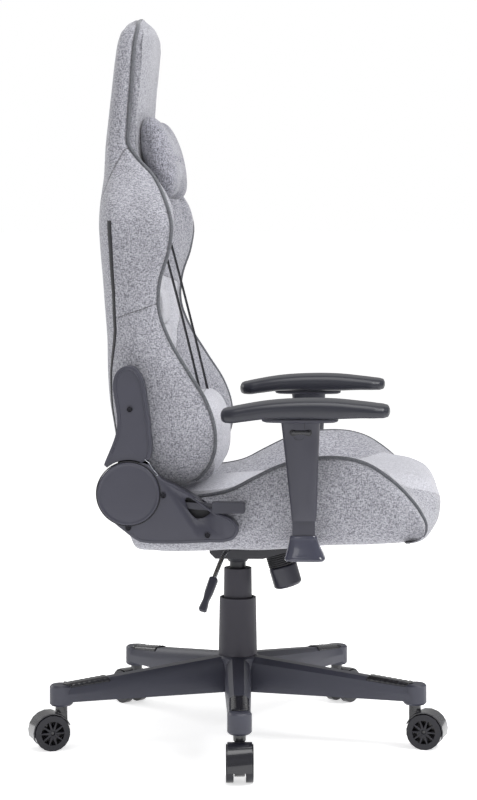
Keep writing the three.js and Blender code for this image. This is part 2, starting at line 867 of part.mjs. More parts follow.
function coil() {
  const rings = [];
  const length = knob.bootLength - spring.wireRadius * 2;
  for (let i = 0; i <= spring.turns * spring.steps; i += 1) {
    const share = i / (spring.turns * spring.steps);
    const angle = share * spring.turns * 360 * degrees;
    rings.push(circle([0, 0], spring.wireRadius, spring.sides).map(([u, v]) => [
      (spring.meanRadius + u) * Math.cos(angle),
      (spring.meanRadius + u) * Math.sin(angle),
      fit + spring.wireRadius + share * length + v,
    ]));
  }
  return loft(rings);
}
piece('tension_spring', tilted(coil()), materials.brightSteel);

function ribbedBoot() {
  const profile = [[knob.bootBore, fit], [knob.bootRoot, fit]];
  const pitch = (knob.bootLength - fit) / knob.bootRibs;
  for (let i = 0; i < knob.bootRibs; i += 1) {
    profile.push([knob.bootTip, fit + pitch * (i + 0.5)], [knob.bootRoot, fit + pitch * (i + 1)]);
  }
  profile.push([knob.bootBore, knob.bootLength], [knob.bootBore, fit]);
  return turned(profile, 8);
}
piece('tension_boot', tilted(ribbedBoot()), materials.rubber);

// Seat board: the panel that everything on the seat is fastened to, with side tabs for the recliner plates
const boardTop = board.bottom + board.thickness;
const lowerPlateInner = recline.upperInner + recline.plate + recline.plateGap;
const tabBottom = board.bottom + board.tabRise;
function seatBoard(extra, depth) {
  let solid = block(
    [board.rear - extra, board.front + extra],
    [-board.half - extra, board.half + extra],
    [board.bottom - depth, boardTop + extra],
  );
  for (const share of tabShares) {
    const x = board.rear + share * (board.front - board.rear);
    const reach = lowerPlateInner - fit + extra * 2;
    solid = solid.add(block(
      [x - board.tabWidth / 2 - extra, x + board.tabWidth / 2 + extra],
      [-reach, reach],
      [tabBottom - extra, tabBottom + board.tabHeight + extra],
    ));
  }
  return solid;
}
piece('seat_board', seatBoard(0, 0), materials.board);

// Armrest bracket: a flat steel bar under the board that turns up into the post inside the armrest
const barTop = board.bottom - fit;
const barBottom = barTop - arm.barHeight;
const postX = [arm.postX - arm.postWidth / 2, arm.postX + arm.postWidth / 2];
const postInner = arm.y - arm.postDepth / 2;
const postOuter = arm.y + arm.postDepth / 2;
function armrestBracket(extra) {
  const foot = block(
    [postX[0] - extra, postX[1] + extra],
    [-postOuter - extra, -arm.barInner + extra],
    [barBottom - extra, barTop + extra],
  );
  const post = block(
    [postX[0] - extra, postX[1] + extra],
    [-postOuter - extra, -postInner + extra],
    [barBottom - extra, arm.postTop + extra],
  );
  return foot.add(post);
}

// Seat cushion: ribs from the rear to the rolled front, each given by where its bolster crest, its middle and
// its lower edge lie, as shares of the seat's length and height
const seatRibShares = [
  [0.002, 0.38, 0.004, 0.38, 0.012, 0.13],
  [0.018, 0.50, 0.022, 0.50, 0.022, 0.03],
  [0.08, 0.55, 0.08, 0.53, 0.08, 0.01],
  [0.22, 0.575, 0.22, 0.555, 0.22, 0.01],
  [0.315, 0.64, 0.315, 0.58, 0.315, 0.03],
  [0.39, 0.77, 0.39, 0.60, 0.39, 0.035],
  [0.48, 0.915, 0.48, 0.63, 0.48, 0.06],
  [0.56, 0.98, 0.565, 0.66, 0.56, 0.09],
  [0.63, 1, 0.64, 0.70, 0.63, 0.105],
  [0.70, 0.985, 0.72, 0.745, 0.70, 0.11],
  [0.755, 0.93, 0.80, 0.785, 0.755, 0.11],
  [0.805, 0.83, 0.865, 0.79, 0.80, 0.11],
  [0.85, 0.70, 0.915, 0.75, 0.845, 0.11],
  [0.89, 0.55, 0.955, 0.66, 0.88, 0.11],
  [0.92, 0.40, 0.985, 0.51, 0.90, 0.105],
  [0.936, 0.26, 1, 0.34, 0.91, 0.10],
  [0.93, 0.19, 0.985, 0.19, 0.91, 0.095],
  [0.912, 0.135, 0.955, 0.115, 0.89, 0.09],
];
const seatPanelShare = 0.52;
function seatRing([ridgeAlong, ridgeUp, panelAlong, panelUp, baseAlong, baseUp]) {
  const at = (along, up) => [seat.rear + along * seat.length, seat.underside + up * seat.height];
  const [ridge, middle, foot] = [at(ridgeAlong, ridgeUp), at(panelAlong, panelUp), at(baseAlong, baseUp)];
  const mix = (a, b, t) => [a[0] + (b[0] - a[0]) * t, a[1] + (b[1] - a[1]) * t];
  const panelHalf = seat.halfWidth * seatPanelShare;
  const crest = seat.halfWidth - seat.ridgeWidth;
  const slope = mix(middle, ridge, 0.62);
  const edge = mix(middle, ridge, 0.06);
  const half = [
    [foot[0], 0, foot[1]],
    [foot[0], seat.halfWidth * 0.6, foot[1]],
    [foot[0], seat.halfWidth * 0.94, foot[1]],
    [...mix(foot, ridge, 0.16)].toSpliced(1, 0, seat.halfWidth * 0.985),
    [...mix(foot, ridge, 0.5)].toSpliced(1, 0, seat.halfWidth),
    [...mix(foot, ridge, 0.88)].toSpliced(1, 0, seat.halfWidth * 0.99),
    [ridge[0], crest, ridge[1]],
    [slope[0], (crest + panelHalf) / 2 + seat.bolsterPuff, slope[1] + seat.bolsterPuff / 2],
    [edge[0], panelHalf, edge[1] - seat.channel],
    [middle[0], panelHalf - seat.ridgeWidth, middle[1]],
    [middle[0], 0, middle[1] + seat.crown],
  ];
  return half.concat(half.slice(1, -1).reverse().map(([x, y, z]) => [x, -y, z]));
}
function seatCushion() {
  const recess = seatBoard(fit, seat.height);
  const belowTabs = block(
    [seat.rear - overrun, seat.rear + seat.length],
    [-seat.halfWidth - overrun, seat.halfWidth + overrun],
    [seat.underside - seat.height, seat.underside - overrun],
  );
  const bracketSpace = armrestBracket(fit).add(placed(armrestBracket(fit), mirrorMatrix));
  return loft(seatRibShares.map(seatRing)).subtract(recess.subtract(belowTabs)).subtract(bracketSpace);
}
piece('seat_cushion', seatCushion(), materials.greyFabric);

// Back frame: a flat pressed-steel loop with a cross member, and side bosses for the recliner plates
const backBosses = bossShares.map((share) => backFrame.bottom + share * (backFrame.top - backFrame.bottom));
function wholeOutline(side) {
  return side.concat(side.map(([y, z]) => [-y, z]).reverse());
}
const lowerInnerHalf = backFrame.lowerHalf - backFrame.member;
const upperInnerHalf = backFrame.upperHalf - backFrame.member;
const frameOutline = wholeOutline([
  [backFrame.lowerHalf - backFrame.member / 2, backFrame.bottom],
  [backFrame.lowerHalf, backFrame.bottom + backFrame.member / 2],
  [backFrame.lowerHalf, backFrame.shoulder],
  [backFrame.upperHalf, backFrame.neck],
  [backFrame.upperHalf, backFrame.top - backFrame.member],
  [upperInnerHalf, backFrame.top],
]);
const frameWindows = [
  wholeOutline([
    [lowerInnerHalf, backFrame.bottom + backFrame.member],
    [lowerInnerHalf, backFrame.middle - backFrame.member / 2],
  ]),
  wholeOutline([
    [lowerInnerHalf, backFrame.middle + backFrame.member / 2],
    [lowerInnerHalf, backFrame.shoulder],
    [upperInnerHalf, backFrame.neck],
    [upperInnerHalf, backFrame.top - backFrame.member],
  ]),
];
function frameSolid(extra) {
  const span = [backFrame.rear - extra, backFrame.rear + backFrame.thickness + extra];
  let solid = prism(inset(frameOutline, -extra), axisX, span, frameWindows.map((hole) => inset(hole, extra)));
  for (const z of backBosses) {
    for (const sign of [-1, 1]) {
      const reach = [backFrame.lowerHalf - backFrame.member / 2, recline.upperInner - fit + extra * 2];
      solid = solid.add(block(
        span,
        sign > 0 ? reach : [-reach[1], -reach[0]],
        [z - backFrame.bossHeight / 2 - extra, z + backFrame.bossHeight / 2 + extra],
      ));
    }
  }
  return solid;
}
piece('back_frame', frameSolid(0), materials.blackSteel);

// Back cushion: level slices from the bottom up, each given as shares of the height, depth and half width:
// height, rear face, wing crest, middle panel, half width, half width of the panel
const backSliceShares = [
  [0, 0.36, 0.61, 0.435, 0.83, 0.43],
  [0.016, 0.235, 0.79, 0.485, 0.90, 0.48],
  [0.038, 0.19, 0.895, 0.55, 0.945, 0.51],
  [0.07, 0.16, 0.965, 0.585, 0.975, 0.525],
  [0.113, 0.14, 0.985, 0.585, 1, 0.525],
  [0.183, 0.095, 0.91, 0.535, 0.995, 0.52],
  [0.246, 0.08, 0.755, 0.485, 0.98, 0.50],
  [0.309, 0.08, 0.605, 0.435, 0.955, 0.485],
  [0.372, 0.06, 0.515, 0.395, 0.935, 0.48],
  [0.435, 0.04, 0.525, 0.37, 0.955, 0.49],
  [0.498, 0.015, 0.60, 0.36, 0.98, 0.50],
  [0.555, 0, 0.62, 0.36, 0.98, 0.50],
  [0.593, 0, 0.575, 0.36, 0.91, 0.485],
  [0.624, 0.005, 0.515, 0.36, 0.805, 0.47],
  [0.656, 0.01, 0.43, 0.355, 0.695, 0.45],
  [0.687, 0.01, 0.31, 0.35, 0.63, 0.44],
  [0.719, 0.015, 0.22, 0.36, 0.60, 0.44],
  [0.763, 0.035, 0.215, 0.37, 0.595, 0.44],
  [0.839, 0.07, 0.235, 0.39, 0.59, 0.44],
  [0.914, 0.11, 0.255, 0.41, 0.59, 0.44],
  [0.958, 0.16, 0.28, 0.40, 0.57, 0.42],
  [0.984, 0.215, 0.295, 0.355, 0.51, 0.37],
  [1, 0.265, 0.30, 0.31, 0.40, 0.27],
];
const quiltShares = [0.27, 0.36, 0.45, 0.53];
function backRing([up, rearShare, ridgeShare, panelShare, halfShare, panelHalfShare], drop) {
  const z = back.bottom + up * back.height;
  const at = (share) => back.rear + share * back.depth;
  const [rear, ridge, panel] = [at(rearShare), at(ridgeShare), at(panelShare)];
  const half = halfShare * back.halfWidth;
  const panelHalf = panelHalfShare * back.halfWidth;
  const crest = half - back.ridgeWidth;
  const deep = ridge - rear;
  const points = [
    [rear, 0],
    [rear, half * 0.6],
    [rear + deep * 0.05, half * 0.86],
    [rear + deep * 0.2, half * 0.97],
    [rear + deep * 0.55, half],
    [ridge - deep * 0.1, half * 0.99],
    [ridge, crest],
    [ridge * 0.6 + panel * 0.4 + back.bolsterPuff * 0.5, (crest + panelHalf) / 2 + back.bolsterPuff * 0.5],
    [panel + (ridge - panel) * 0.08 - back.channel, panelHalf],
    [panel - drop, panelHalf - back.ridgeWidth],
    [panel + back.crown - drop, 0],
  ];
  return points.concat(points.slice(1, -1).reverse().map(([x, y]) => [x, -y])).map(([x, y]) => [x, y, z]);
}
function backSlices() {
  const step = back.channelWidth / 2 / back.height;
  const rows = backSliceShares.map((row) => [row, 0]);
  for (const share of quiltShares) {
    rows.push([rowAt(backSliceShares, share - step), 0]);
    rows.push([rowAt(backSliceShares, share), back.channel]);
    rows.push([rowAt(backSliceShares, share + step), 0]);
  }
  return rows.sort((a, b) => a[0][0] - b[0][0]);
}
const backForm = loft(backSlices().map(([row, drop]) => backRing(row, drop)));
const pivotEnds = recline.upperInner + recline.plate * 2 + recline.plateGap + recline.shaftOverhang;
const shaftSpace = bar(
  recline.shaftRadius + running,
  [recline.x, -pivotEnds, recline.z],
  [recline.x, pivotEnds, recline.z],
);
piece('back_cushion', backForm.subtract(frameSolid(fit)).subtract(shaftSpace), materials.greyFabric);

// Recliner shaft: it joins both sides and is the pivot of the back
piece('recliner_shaft', bar(
  recline.shaftRadius,
  [recline.x, -pivotEnds, recline.z],
  [recline.x, pivotEnds, recline.z],
  roundSides,
), materials.blackSteel);

// Straps of the lumbar pillow: two taut bands from the neck seam down to the pillow
function strapBand(sign, extra) {
  const top = [strap.topX, strap.topZ];
  const way = [strap.bottomX - strap.topX, strap.bottomZ - strap.topZ];
  const length = Math.hypot(...way);
  const half = strap.thickness / 2 + extra;
  const across = [(-way[1] / length) * half, (way[0] / length) * half];
  const outline = [
    [top[0] - across[0], top[1] - across[1]],
    [top[0] + across[0], top[1] + across[1]],
    [top[0] + way[0] + across[0], top[1] + way[1] + across[1]],
    [top[0] + way[0] - across[0], top[1] + way[1] - across[1]],
  ];
  const edges = [strap.y - strap.width / 2 - extra, strap.y + strap.width / 2 + extra];
  return prism(outline, axisY, sign > 0 ? edges : [-edges[1], -edges[0]]);
}

// Pillows: slices along their length, each a rounded oval, given by place, height and depth shares
const headSliceShares = [
  [-1, 0.35, 0.2],
  [-0.95, 0.72, 0.6],
  [-0.82, 0.95, 0.9],
  [-0.62, 1, 1],
  [-0.3, 0.88, 0.98],
  [0, 0.82, 0.94],
  [0.3, 0.88, 0.98],
  [0.62, 1, 1],
  [0.82, 0.95, 0.9],
  [0.95, 0.72, 0.6],
  [1, 0.35, 0.2],
];
const lumbarSliceShares = [
  [-1, 0.55, 0.25],
  [-0.95, 0.85, 0.55],
  [-0.8, 0.98, 0.82],
  [-0.5, 1, 0.96],
  [0, 0.97, 1],
  [0.5, 1, 0.96],
  [0.8, 0.98, 0.82],
  [0.95, 0.85, 0.55],
  [1, 0.55, 0.25],
];
function pillow({ x, z, halfLength, halfHeight, halfDepth }, slices) {
  return loft(slices.map(([along, high, deep]) => circle([0, 0], 1, smallSides).map(([u, v]) => [
    x + Math.sign(u) * Math.abs(u) ** 0.85 * halfDepth * deep,
    along * halfLength,
    z + Math.sign(v) * Math.abs(v) ** 0.75 * halfHeight * high,
  ])));
}
const backSpace = placed(backForm, shift(fit, 0, 0));
const strapSpace = strapBand(1, fit).add(strapBand(-1, fit));
const lumbar = pillow(lumbarPillow, lumbarSliceShares).subtract(backSpace);
const headForm = pillow(headPillow, headSliceShares).subtract(backSpace).subtract(strapSpace);
piece('head_pillow', headForm, materials.greyFabric);
piece('lumbar_pillow', lumbar, materials.lightFabric);

// Everything that comes in a right and left pair, given for the sitter's right and mirrored
const screwShares = [[0.448, 0.603], [0.195, 0.198]];
const plateOuter = lowerPlateInner + recline.plate;
const lobeShares = [
  [0.08, 0.235], [0.153, 0.155], [0.213, 0.075], [0.272, 0.013], [0.425, 0], [0.765, 0.023], [0.915, 0.035],
  [0.973, 0.075], [1, 0.18], [0.98, 0.255], [0.924, 0.335], [0.86, 0.378], [0.712, 0.55], [0.56, 0.69],
  [0.45, 0.79], [0.39, 0.81], [0.345, 0.92], [0.2, 0.8],
];
const shellShares = [
  [0.012, 0.04], [0.095, 0.16], [0.23, 0.31], [0.283, 0.43], [0.283, 0.535], [0.23, 0.70], [0.209, 0.845],
  [0.30, 0.955], [0.508, 1], [0.69, 0.965], [0.81, 0.878], [0.87, 0.724], [0.926, 0.535], [0.977, 0.314],
  [0.988, 0.195], [0.925, 0.095],
];
const bladeShares = [
  [0.33, 0.2], [0.37, 0.5], [0.32, 0.76], [0.38, 0.9], [0.5, 0.955], [0.64, 0.92], [0.74, 0.84], [0.8, 0.7],
  [0.86, 0.45], [0.87, 0.2],
];
const onBox = (shares, box) => fromShares(shares, [box.rear, box.bottom], [box.length, box.height]);
const lobeOutline = onBox(lobeShares, lowerLobe);
const screwPlaces = onBox(screwShares, lowerLobe);
const arcRadius = recline.discRadius + recline.arcGap;
const pivotPoint = [recline.x, recline.z];
const shellOutline = onBox(shellShares, upperShell)
  .concat(arc(pivotPoint, arcRadius, recline.arcStart, recline.arcEnd, 6));
const platePivotHole = bar(
  recline.shaftRadius + fit,
  [recline.x, -pivotEnds - overrun, recline.z],
  [recline.x, -recline.upperInner + overrun, recline.z],
);

function lowerBracket() {
  const span = [-plateOuter, -lowerPlateInner];
  const disc = prism(circle(pivotPoint, recline.lowerDisc), axisY, span);
  const lobe = prism(inset(lobeOutline, recline.platesInset), axisY, span);
  return disc.add(lobe).subtract(platePivotHole);
}

function withPin(plate) {
  return plate.add(bar(
    reclineLever.pinRadius,
    [reclineLever.x, -lowerPlateInner - recline.plate / 2, reclineLever.z],
    [reclineLever.x, -reclineLever.inner - reclineLever.thickness - running, reclineLever.z],
  ));
}

function lowerCover(hasLever) {
  const discInner = lowerPlateInner + fit * 2;
  const disc = prism(
    circle(pivotPoint, recline.discRadius, fineSides),
    axisY,
    [-recline.discOuter, -discInner],
  );
  const lobe = prism(lobeOutline, axisY, [-recline.coverOuter, -recline.coverInner]);
  const rearLobe = block(
    [lowerLobe.rear - overrun, recline.lobeRear],
    [-discInner, -recline.coverInner + overrun],
    [lowerLobe.bottom - overrun, lowerLobe.bottom + lowerLobe.height + overrun],
  );
  const hollowOuter = -recline.coverOuter + recline.coverWall;
  const discHollow = prism(
    circle(pivotPoint, recline.discRadius - recline.coverWall),
    axisY,
    [-recline.discOuter + recline.coverWall, -recline.coverInner + overrun],
  );
  const lobeHollow = prism(
    inset(lobeOutline, recline.coverWall),
    axisY,
    [hollowOuter, -recline.coverInner + overrun],
  );
  let cover = disc.add(lobe).subtract(rearLobe).subtract(discHollow).subtract(lobeHollow);
  for (const [x, z] of screwPlaces) {
    cover = cover.add(bar(recline.postRadius, [x, hollowOuter - fit, z], [x, -plateOuter - fit, z]));
  }
  if (!hasLever) {
    return cover;
  }
  const floorSpan = [-reclineLever.recessFloor - recline.coverWall, -reclineLever.recessFloor];
  const front = lowerLobe.rear + lowerLobe.length + overrun;
  const shelf = prism(lobeOutline, axisY, floorSpan).intersect(block(
    [reclineLever.recessRear - recline.coverWall, front],
    floorSpan,
    [reclineLever.recessBottom - recline.coverWall, reclineLever.recessTop],
  ));
  const ledge = prism(lobeOutline, axisY, [-recline.coverOuter, -reclineLever.recessFloor]).intersect(block(
    [reclineLever.recessRear - recline.coverWall, front],
    [-recline.coverOuter, -reclineLever.recessFloor],
    [reclineLever.recessBottom - recline.coverWall, reclineLever.recessBottom],
  ));
  const recess = block(
    [reclineLever.recessRear, front],
    [-recline.discOuter - overrun, floorSpan[0]],
    [reclineLever.recessBottom, reclineLever.recessTop],
  );
  return cover.add(shelf).add(ledge).subtract(recess);
}

function upperBracket() {
  const span = [-recline.upperInner - recline.plate, -recline.upperInner];
  const disc = prism(circle(pivotPoint, recline.upperDisc), axisY, span);
  const blade = prism(onBox(bladeShares, upperShell), axisY, span);
  const neck = block(
    [recline.x - recline.upperDisc / 2, recline.x + recline.upperDisc / 2],
    span,
    [recline.z, recline.z + recline.upperDisc * 2],
  );
  return disc.add(blade).add(neck).subtract(platePivotHole);
}

function upperCover() {
  const outer = prism(shellOutline, axisY, [-recline.upperCoverOuter, -recline.coverInner]);
  const hollow = prism(
    inset(shellOutline, recline.coverWall),
    axisY,
    [-recline.upperCoverOuter + recline.coverWall, -recline.coverInner + overrun],
  );
  const neckSpace = block(
    [recline.x - recline.upperDisc / 2 - running, recline.x + recline.upperDisc / 2 + running],
    [-recline.upperInner - recline.plate - running, -recline.coverInner + overrun],
    [recline.z, recline.z + recline.upperDisc * 2],
  );
  let cover = outer.subtract(hollow).subtract(neckSpace);
  for (const z of backBosses) {
    cover = cover.add(bar(
      recline.postRadius,
      [backFrame.rear + backFrame.thickness, -recline.upperCoverOuter + recline.coverWall / 2, z],
      [backFrame.rear + backFrame.thickness, -recline.upperInner - recline.plate - fit, z],
    ));
  }
  return cover;
}

// Recline lever: a flat arm on the right lower plate's pin that widens into a finger paddle
function leverPaddle() {
  const dropZ = reclineLever.z - reclineLever.drop;
  const inner = -reclineLever.inner;
  const hub = prism(
    circle([reclineLever.x, reclineLever.z], reclineLever.hubRadius, smallSides),
    axisY,
    [inner - reclineLever.thickness, inner],
  );
  const armPlate = prism([
    [reclineLever.x, reclineLever.z - reclineLever.armHalf],
    [reclineLever.paddleStart, dropZ - reclineLever.armHalf],
    [reclineLever.paddleStart, dropZ + reclineLever.armHalf],
    [reclineLever.x, reclineLever.z + reclineLever.armHalf],
  ], axisY, [inner - reclineLever.thickness, inner]);
  const corner = reclineLever.paddleHalf / 3;
  const paddle = prism([
    [reclineLever.paddleStart, dropZ - reclineLever.paddleHalf],
    [reclineLever.tip - corner, dropZ - reclineLever.paddleHalf],
    [reclineLever.tip, dropZ - reclineLever.paddleHalf + corner],
    [reclineLever.tip, dropZ + reclineLever.paddleHalf - corner],
    [reclineLever.tip - corner, dropZ + reclineLever.paddleHalf],
    [reclineLever.paddleStart, dropZ + reclineLever.paddleHalf],
  ], axisY, [-reclineLever.paddleOuter, inner]);
  const pinHole = bar(
    reclineLever.pinRadius + fit,
    [reclineLever.x, -reclineLever.paddleOuter, reclineLever.z],
    [reclineLever.x, inner + overrun, reclineLever.z],
  );
  return hub.add(armPlate).add(paddle).subtract(pinHole);
}
piece('recline_lever', leverPaddle(), materials.blackPlastic);

const roundedShares = [[0, 0.18], [0.18, 0], [0.82, 0], [1, 0.18], [1, 0.82], [0.82, 1], [0.18, 1], [0, 0.82]];
function roundedRing([rear, front], [inner, outer], z) {
  return roundedShares.map(([a, b]) => [rear + a * (front - rear), -outer + b * (outer - inner), z]);
}

function armrestSleeve() {
  const half = (depth) => [arm.y - depth / 2, arm.y + depth / 2];
  const column = loft([
    roundedRing([arm.sleeveBottomRear, arm.sleeveBottomFront], half(arm.sleeveBottomDepth), arm.sleeveBottom),
    roundedRing([arm.sleeveTopRear, arm.sleeveTopFront], half(arm.sleeveTopDepth), arm.sleeveTop + fit),
  ]);
  const plateRing = (cut, z) => roundedRing(
    [arm.plateRear + cut, arm.plateFront - cut],
    [arm.y - arm.plateHalf + cut / 2, arm.y + arm.plateHalf - cut / 2],
    z,
  );
  const plate = loft([
    plateRing(arm.plateThickness, arm.sleeveTop),
    plateRing(0, arm.sleeveTop + arm.plateThickness / 2),
    plateRing(0, arm.sleeveTop + arm.plateThickness),
  ]);
  const postSpace = block(
    [postX[0] - fit, postX[1] + fit],
    [-postOuter - fit, -postInner + fit],
    [arm.sleeveBottom - overrun, arm.sleeveTop - fit],
  );
  const buttonSpace = block(
    [arm.buttonX - arm.buttonWidth / 2 - fit, arm.buttonX + arm.buttonWidth / 2 + fit],
    [-arm.y - arm.sleeveTopDepth, -arm.y - arm.sleeveTopDepth / 2 + arm.buttonPocket],
    [arm.buttonZ - arm.buttonHeight / 2 - fit, arm.buttonZ + arm.buttonHeight / 2 + fit],
  );
  return column.add(plate).subtract(postSpace).subtract(buttonSpace);
}

function armrestButton() {
  const outline = fromShares(
    [[0.1, 0], [0.9, 0], [1, 0.3], [1, 0.7], [0.9, 1], [0.1, 1], [0, 0.7], [0, 0.3]],
    [arm.buttonX - arm.buttonWidth / 2, arm.buttonZ - arm.buttonHeight / 2],
    [arm.buttonWidth, arm.buttonHeight],
  );
  const outer = -arm.y - arm.sleeveTopDepth / 2 - arm.buttonProud;
  return prism(outline, axisY, [outer, outer + arm.buttonDepth]);
}

function armrestSkirt() {
  const shell = loft([
    roundedRing(
      [arm.skirtBottomRear, arm.skirtBottomFront],
      [arm.skirtBottomInner, arm.y + arm.skirtBottomOut],
      arm.skirtBottom,
    ),
    roundedRing(
      [arm.skirtBottomRear + running, arm.skirtBottomFront - running],
      [arm.skirtBottomInner, arm.y + arm.skirtBottomOut],
      arm.skirtBottom + arm.barHeight,
    ),
    roundedRing(
      [arm.skirtTopRear, arm.skirtTopFront],
      [arm.y - arm.skirtTopIn, arm.y + arm.skirtTopOut],
      arm.skirtTop,
    ),
  ]);
  return shell.subtract(armrestBracket(fit));
}

// Armrest pad: slices from the rear to the front, given by place, lower face, upper face and half width
const padSliceShares = [
  [0, 0.2, 0.5, 0.35],
  [0.012, 0.1, 0.56, 0.62],
  [0.05, 0.02, 0.62, 0.86],
  [0.14, 0.08, 0.75, 0.96],
  [0.25, 0.19, 0.87, 1],
  [0.5, 0.19, 0.99, 1],
  [0.69, 0.19, 0.97, 1],
  [0.83, 0.24, 0.86, 0.98],
  [0.93, 0.24, 0.76, 0.9],
  [0.98, 0.3, 0.7, 0.7],
  [1, 0.4, 0.62, 0.4],
];
const padRingShares = [
  [-0.86, 0], [0.86, 0], [1, 0.25], [1, 0.6], [0.88, 0.88],
  [0.5, 1], [-0.5, 1], [-0.88, 0.88], [-1, 0.6], [-1, 0.25],
];
function armrestPad() {
  const seatOnPlate = arm.sleeveTop + arm.plateThickness + fit;
  const body = loft(padSliceShares.map(([along, low, high, wide]) => padRingShares.map(([across, up]) => [
    pad.rear + along * pad.length,
    -arm.y + across * wide * pad.half,
    pad.bottom + (low + up * (high - low)) * pad.height,
  ])));
  const plateSpace = block(
    [arm.plateRear - pad.travel - running, arm.plateFront + pad.travel + running],
    [-arm.y - pad.half - overrun, -arm.y + pad.half + overrun],
    [arm.sleeveTop, seatOnPlate],
  );
  return body.subtract(plateSpace);
}

const strapForm = strapBand(-1, 0).subtract(backSpace).subtract(placed(lumbar, shift(-fit, 0, fit)));
const pairs = [
  ['lumbar_strap', () => strapForm, materials.webbing],
  ['lower_bracket', (right) => (right ? withPin(lowerBracket()) : lowerBracket()), materials.brightSteel],
  ['lower_cover', (right) => lowerCover(right), materials.blackPlastic],
  ['upper_bracket', upperBracket, materials.brightSteel],
  ['upper_cover', upperCover, materials.blackPlastic],
  ['armrest_bracket', () => armrestBracket(0), materials.blackSteel],
  ['armrest_skirt', armrestSkirt, materials.glossPlastic],
  ['armrest_sleeve', armrestSleeve, materials.blackPlastic],
  ['armrest_button', armrestButton, materials.blackPlastic],
  ['armrest_pad', armrestPad, materials.foam],
];
const leftSide = new THREE.Group();
leftSide.scale.y = -1;
chair.add(leftSide);
for (const [name, make, material] of pairs) {
  piece(`${name}_right`, make(true), material);
  piece(`${name}_left`, make(false), material, leftSide);
}

// Casters: each hood carries its stem and axle, and trails outwards along its leg
function casterHood() {
  const centre = [caster.trail, caster.wheelRadius];
  const inner = caster.wheelRadius + caster.hoodGap;
  const outer = inner + caster.hoodWall;
  const sweep = [caster.hoodStart, caster.hoodEnd];
  const fender = prism(
    arc(centre, outer, ...sweep, 9).concat(arc(centre, inner, ...sweep, 9).reverse()),
    axisY,
    [-caster.hoodHalf, caster.hoodHalf],
  );
  const web = prism(
    arc(centre, (inner + outer) / 2, ...sweep, 9)
      .concat(arc(centre, caster.webRadius, sweep[1], 360 + sweep[0], 6)),
    axisY,
    [-caster.webHalf, caster.webHalf],
  );
  const collarBottom = caster.wheelRadius * 2 + running * 2;
  const collarTop = base.bossBottom - fit;
  const stemTop = base.bossBottom + caster.stemLength;
  const neck = block(
    [-caster.webHalf, caster.webHalf],
    [-caster.webHalf, caster.webHalf],
    [caster.wheelRadius + caster.webRadius / 2, collarBottom + running],
  );
  const stem = turned([
    [0, collarBottom],
    [caster.collarRadius, collarBottom],
    [caster.collarRadius, collarTop],
    [caster.stemRadius, collarTop],
    [caster.stemRadius, stemTop],
    [0, stemTop],
  ], smallSides);
  const reach = caster.webHalf + caster.sideGap + caster.wheelWidth * caster.axleShare;
  const axle = bar(
    caster.axleRadius,
    [caster.trail, -reach, caster.wheelRadius],
    [caster.trail, reach, caster.wheelRadius],
  );
  return fender.add(web).add(neck).add(stem).add(axle);
}
function casterWheel(sign) {
  const centre = [caster.trail, caster.wheelRadius];
  const near = caster.webHalf + caster.sideGap;
  const step = 360 / caster.spokes;
  const narrow = Math.asin(caster.spokeHalf / caster.windowOuter) / degrees;
  const windows = Array.from({ length: caster.spokes }, (_, i) => [
    ...arc(centre, caster.windowOuter, step * i + narrow, step * (i + 1) - narrow, 1),
    ...arc(centre, caster.windowInner, step * (i + 0.5), step * (i + 0.5), 1).slice(1),
  ]);
  const bore = circle(centre, caster.axleRadius + fit, 10);
  const span = [near, near + caster.wheelWidth];
  const flat = 180 / caster.wheelSides;
  const tread = arc(
    centre,
    caster.wheelRadius / Math.cos(flat * degrees),
    flat,
    360 - flat,
    caster.wheelSides - 1,
  );
  return prism(
    tread,
    axisY,
    sign > 0 ? span : [-span[1], -span[0]],
    [...windows, bore],
  );
}
const hood = casterHood();
const wheels = { right: casterWheel(-1), left: casterWheel(1) };
for (let i = 0; i < base.legCount; i += 1) {
  const angle = base.firstLeg + (360 * i) / base.legCount;
  const stand = new THREE.Group();
  stand.rotation.z = angle * degrees;
  stand.position.set(base.casterCircle, 0, 0).applyEuler(stand.rotation);
  chair.add(stand);
  piece(`caster_hood_${i + 1}`, hood, materials.glossPlastic, stand);
  piece(`caster_wheel_${i + 1}a`, wheels.right, materials.blackPlastic, stand);
  piece(`caster_wheel_${i + 1}b`, wheels.left, materials.blackPlastic, stand);
}

export default chair;
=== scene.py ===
"""The looks of the gaming chair: soft goods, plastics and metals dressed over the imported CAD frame."""
import math

import bmesh
import bpy
import numpy as np
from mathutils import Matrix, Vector
from mathutils.bvhtree import BVHTree


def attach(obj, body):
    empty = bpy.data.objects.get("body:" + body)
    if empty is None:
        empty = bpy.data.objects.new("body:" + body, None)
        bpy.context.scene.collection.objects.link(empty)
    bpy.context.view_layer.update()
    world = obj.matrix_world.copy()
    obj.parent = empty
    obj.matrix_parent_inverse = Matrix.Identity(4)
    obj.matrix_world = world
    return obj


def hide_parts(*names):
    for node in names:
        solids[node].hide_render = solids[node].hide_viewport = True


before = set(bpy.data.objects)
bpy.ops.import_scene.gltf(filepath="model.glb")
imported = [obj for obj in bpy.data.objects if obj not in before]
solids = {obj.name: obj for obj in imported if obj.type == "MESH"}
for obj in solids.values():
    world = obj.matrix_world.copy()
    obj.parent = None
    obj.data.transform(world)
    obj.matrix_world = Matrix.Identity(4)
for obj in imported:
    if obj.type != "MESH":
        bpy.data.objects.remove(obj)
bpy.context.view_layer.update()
MM = 0.001


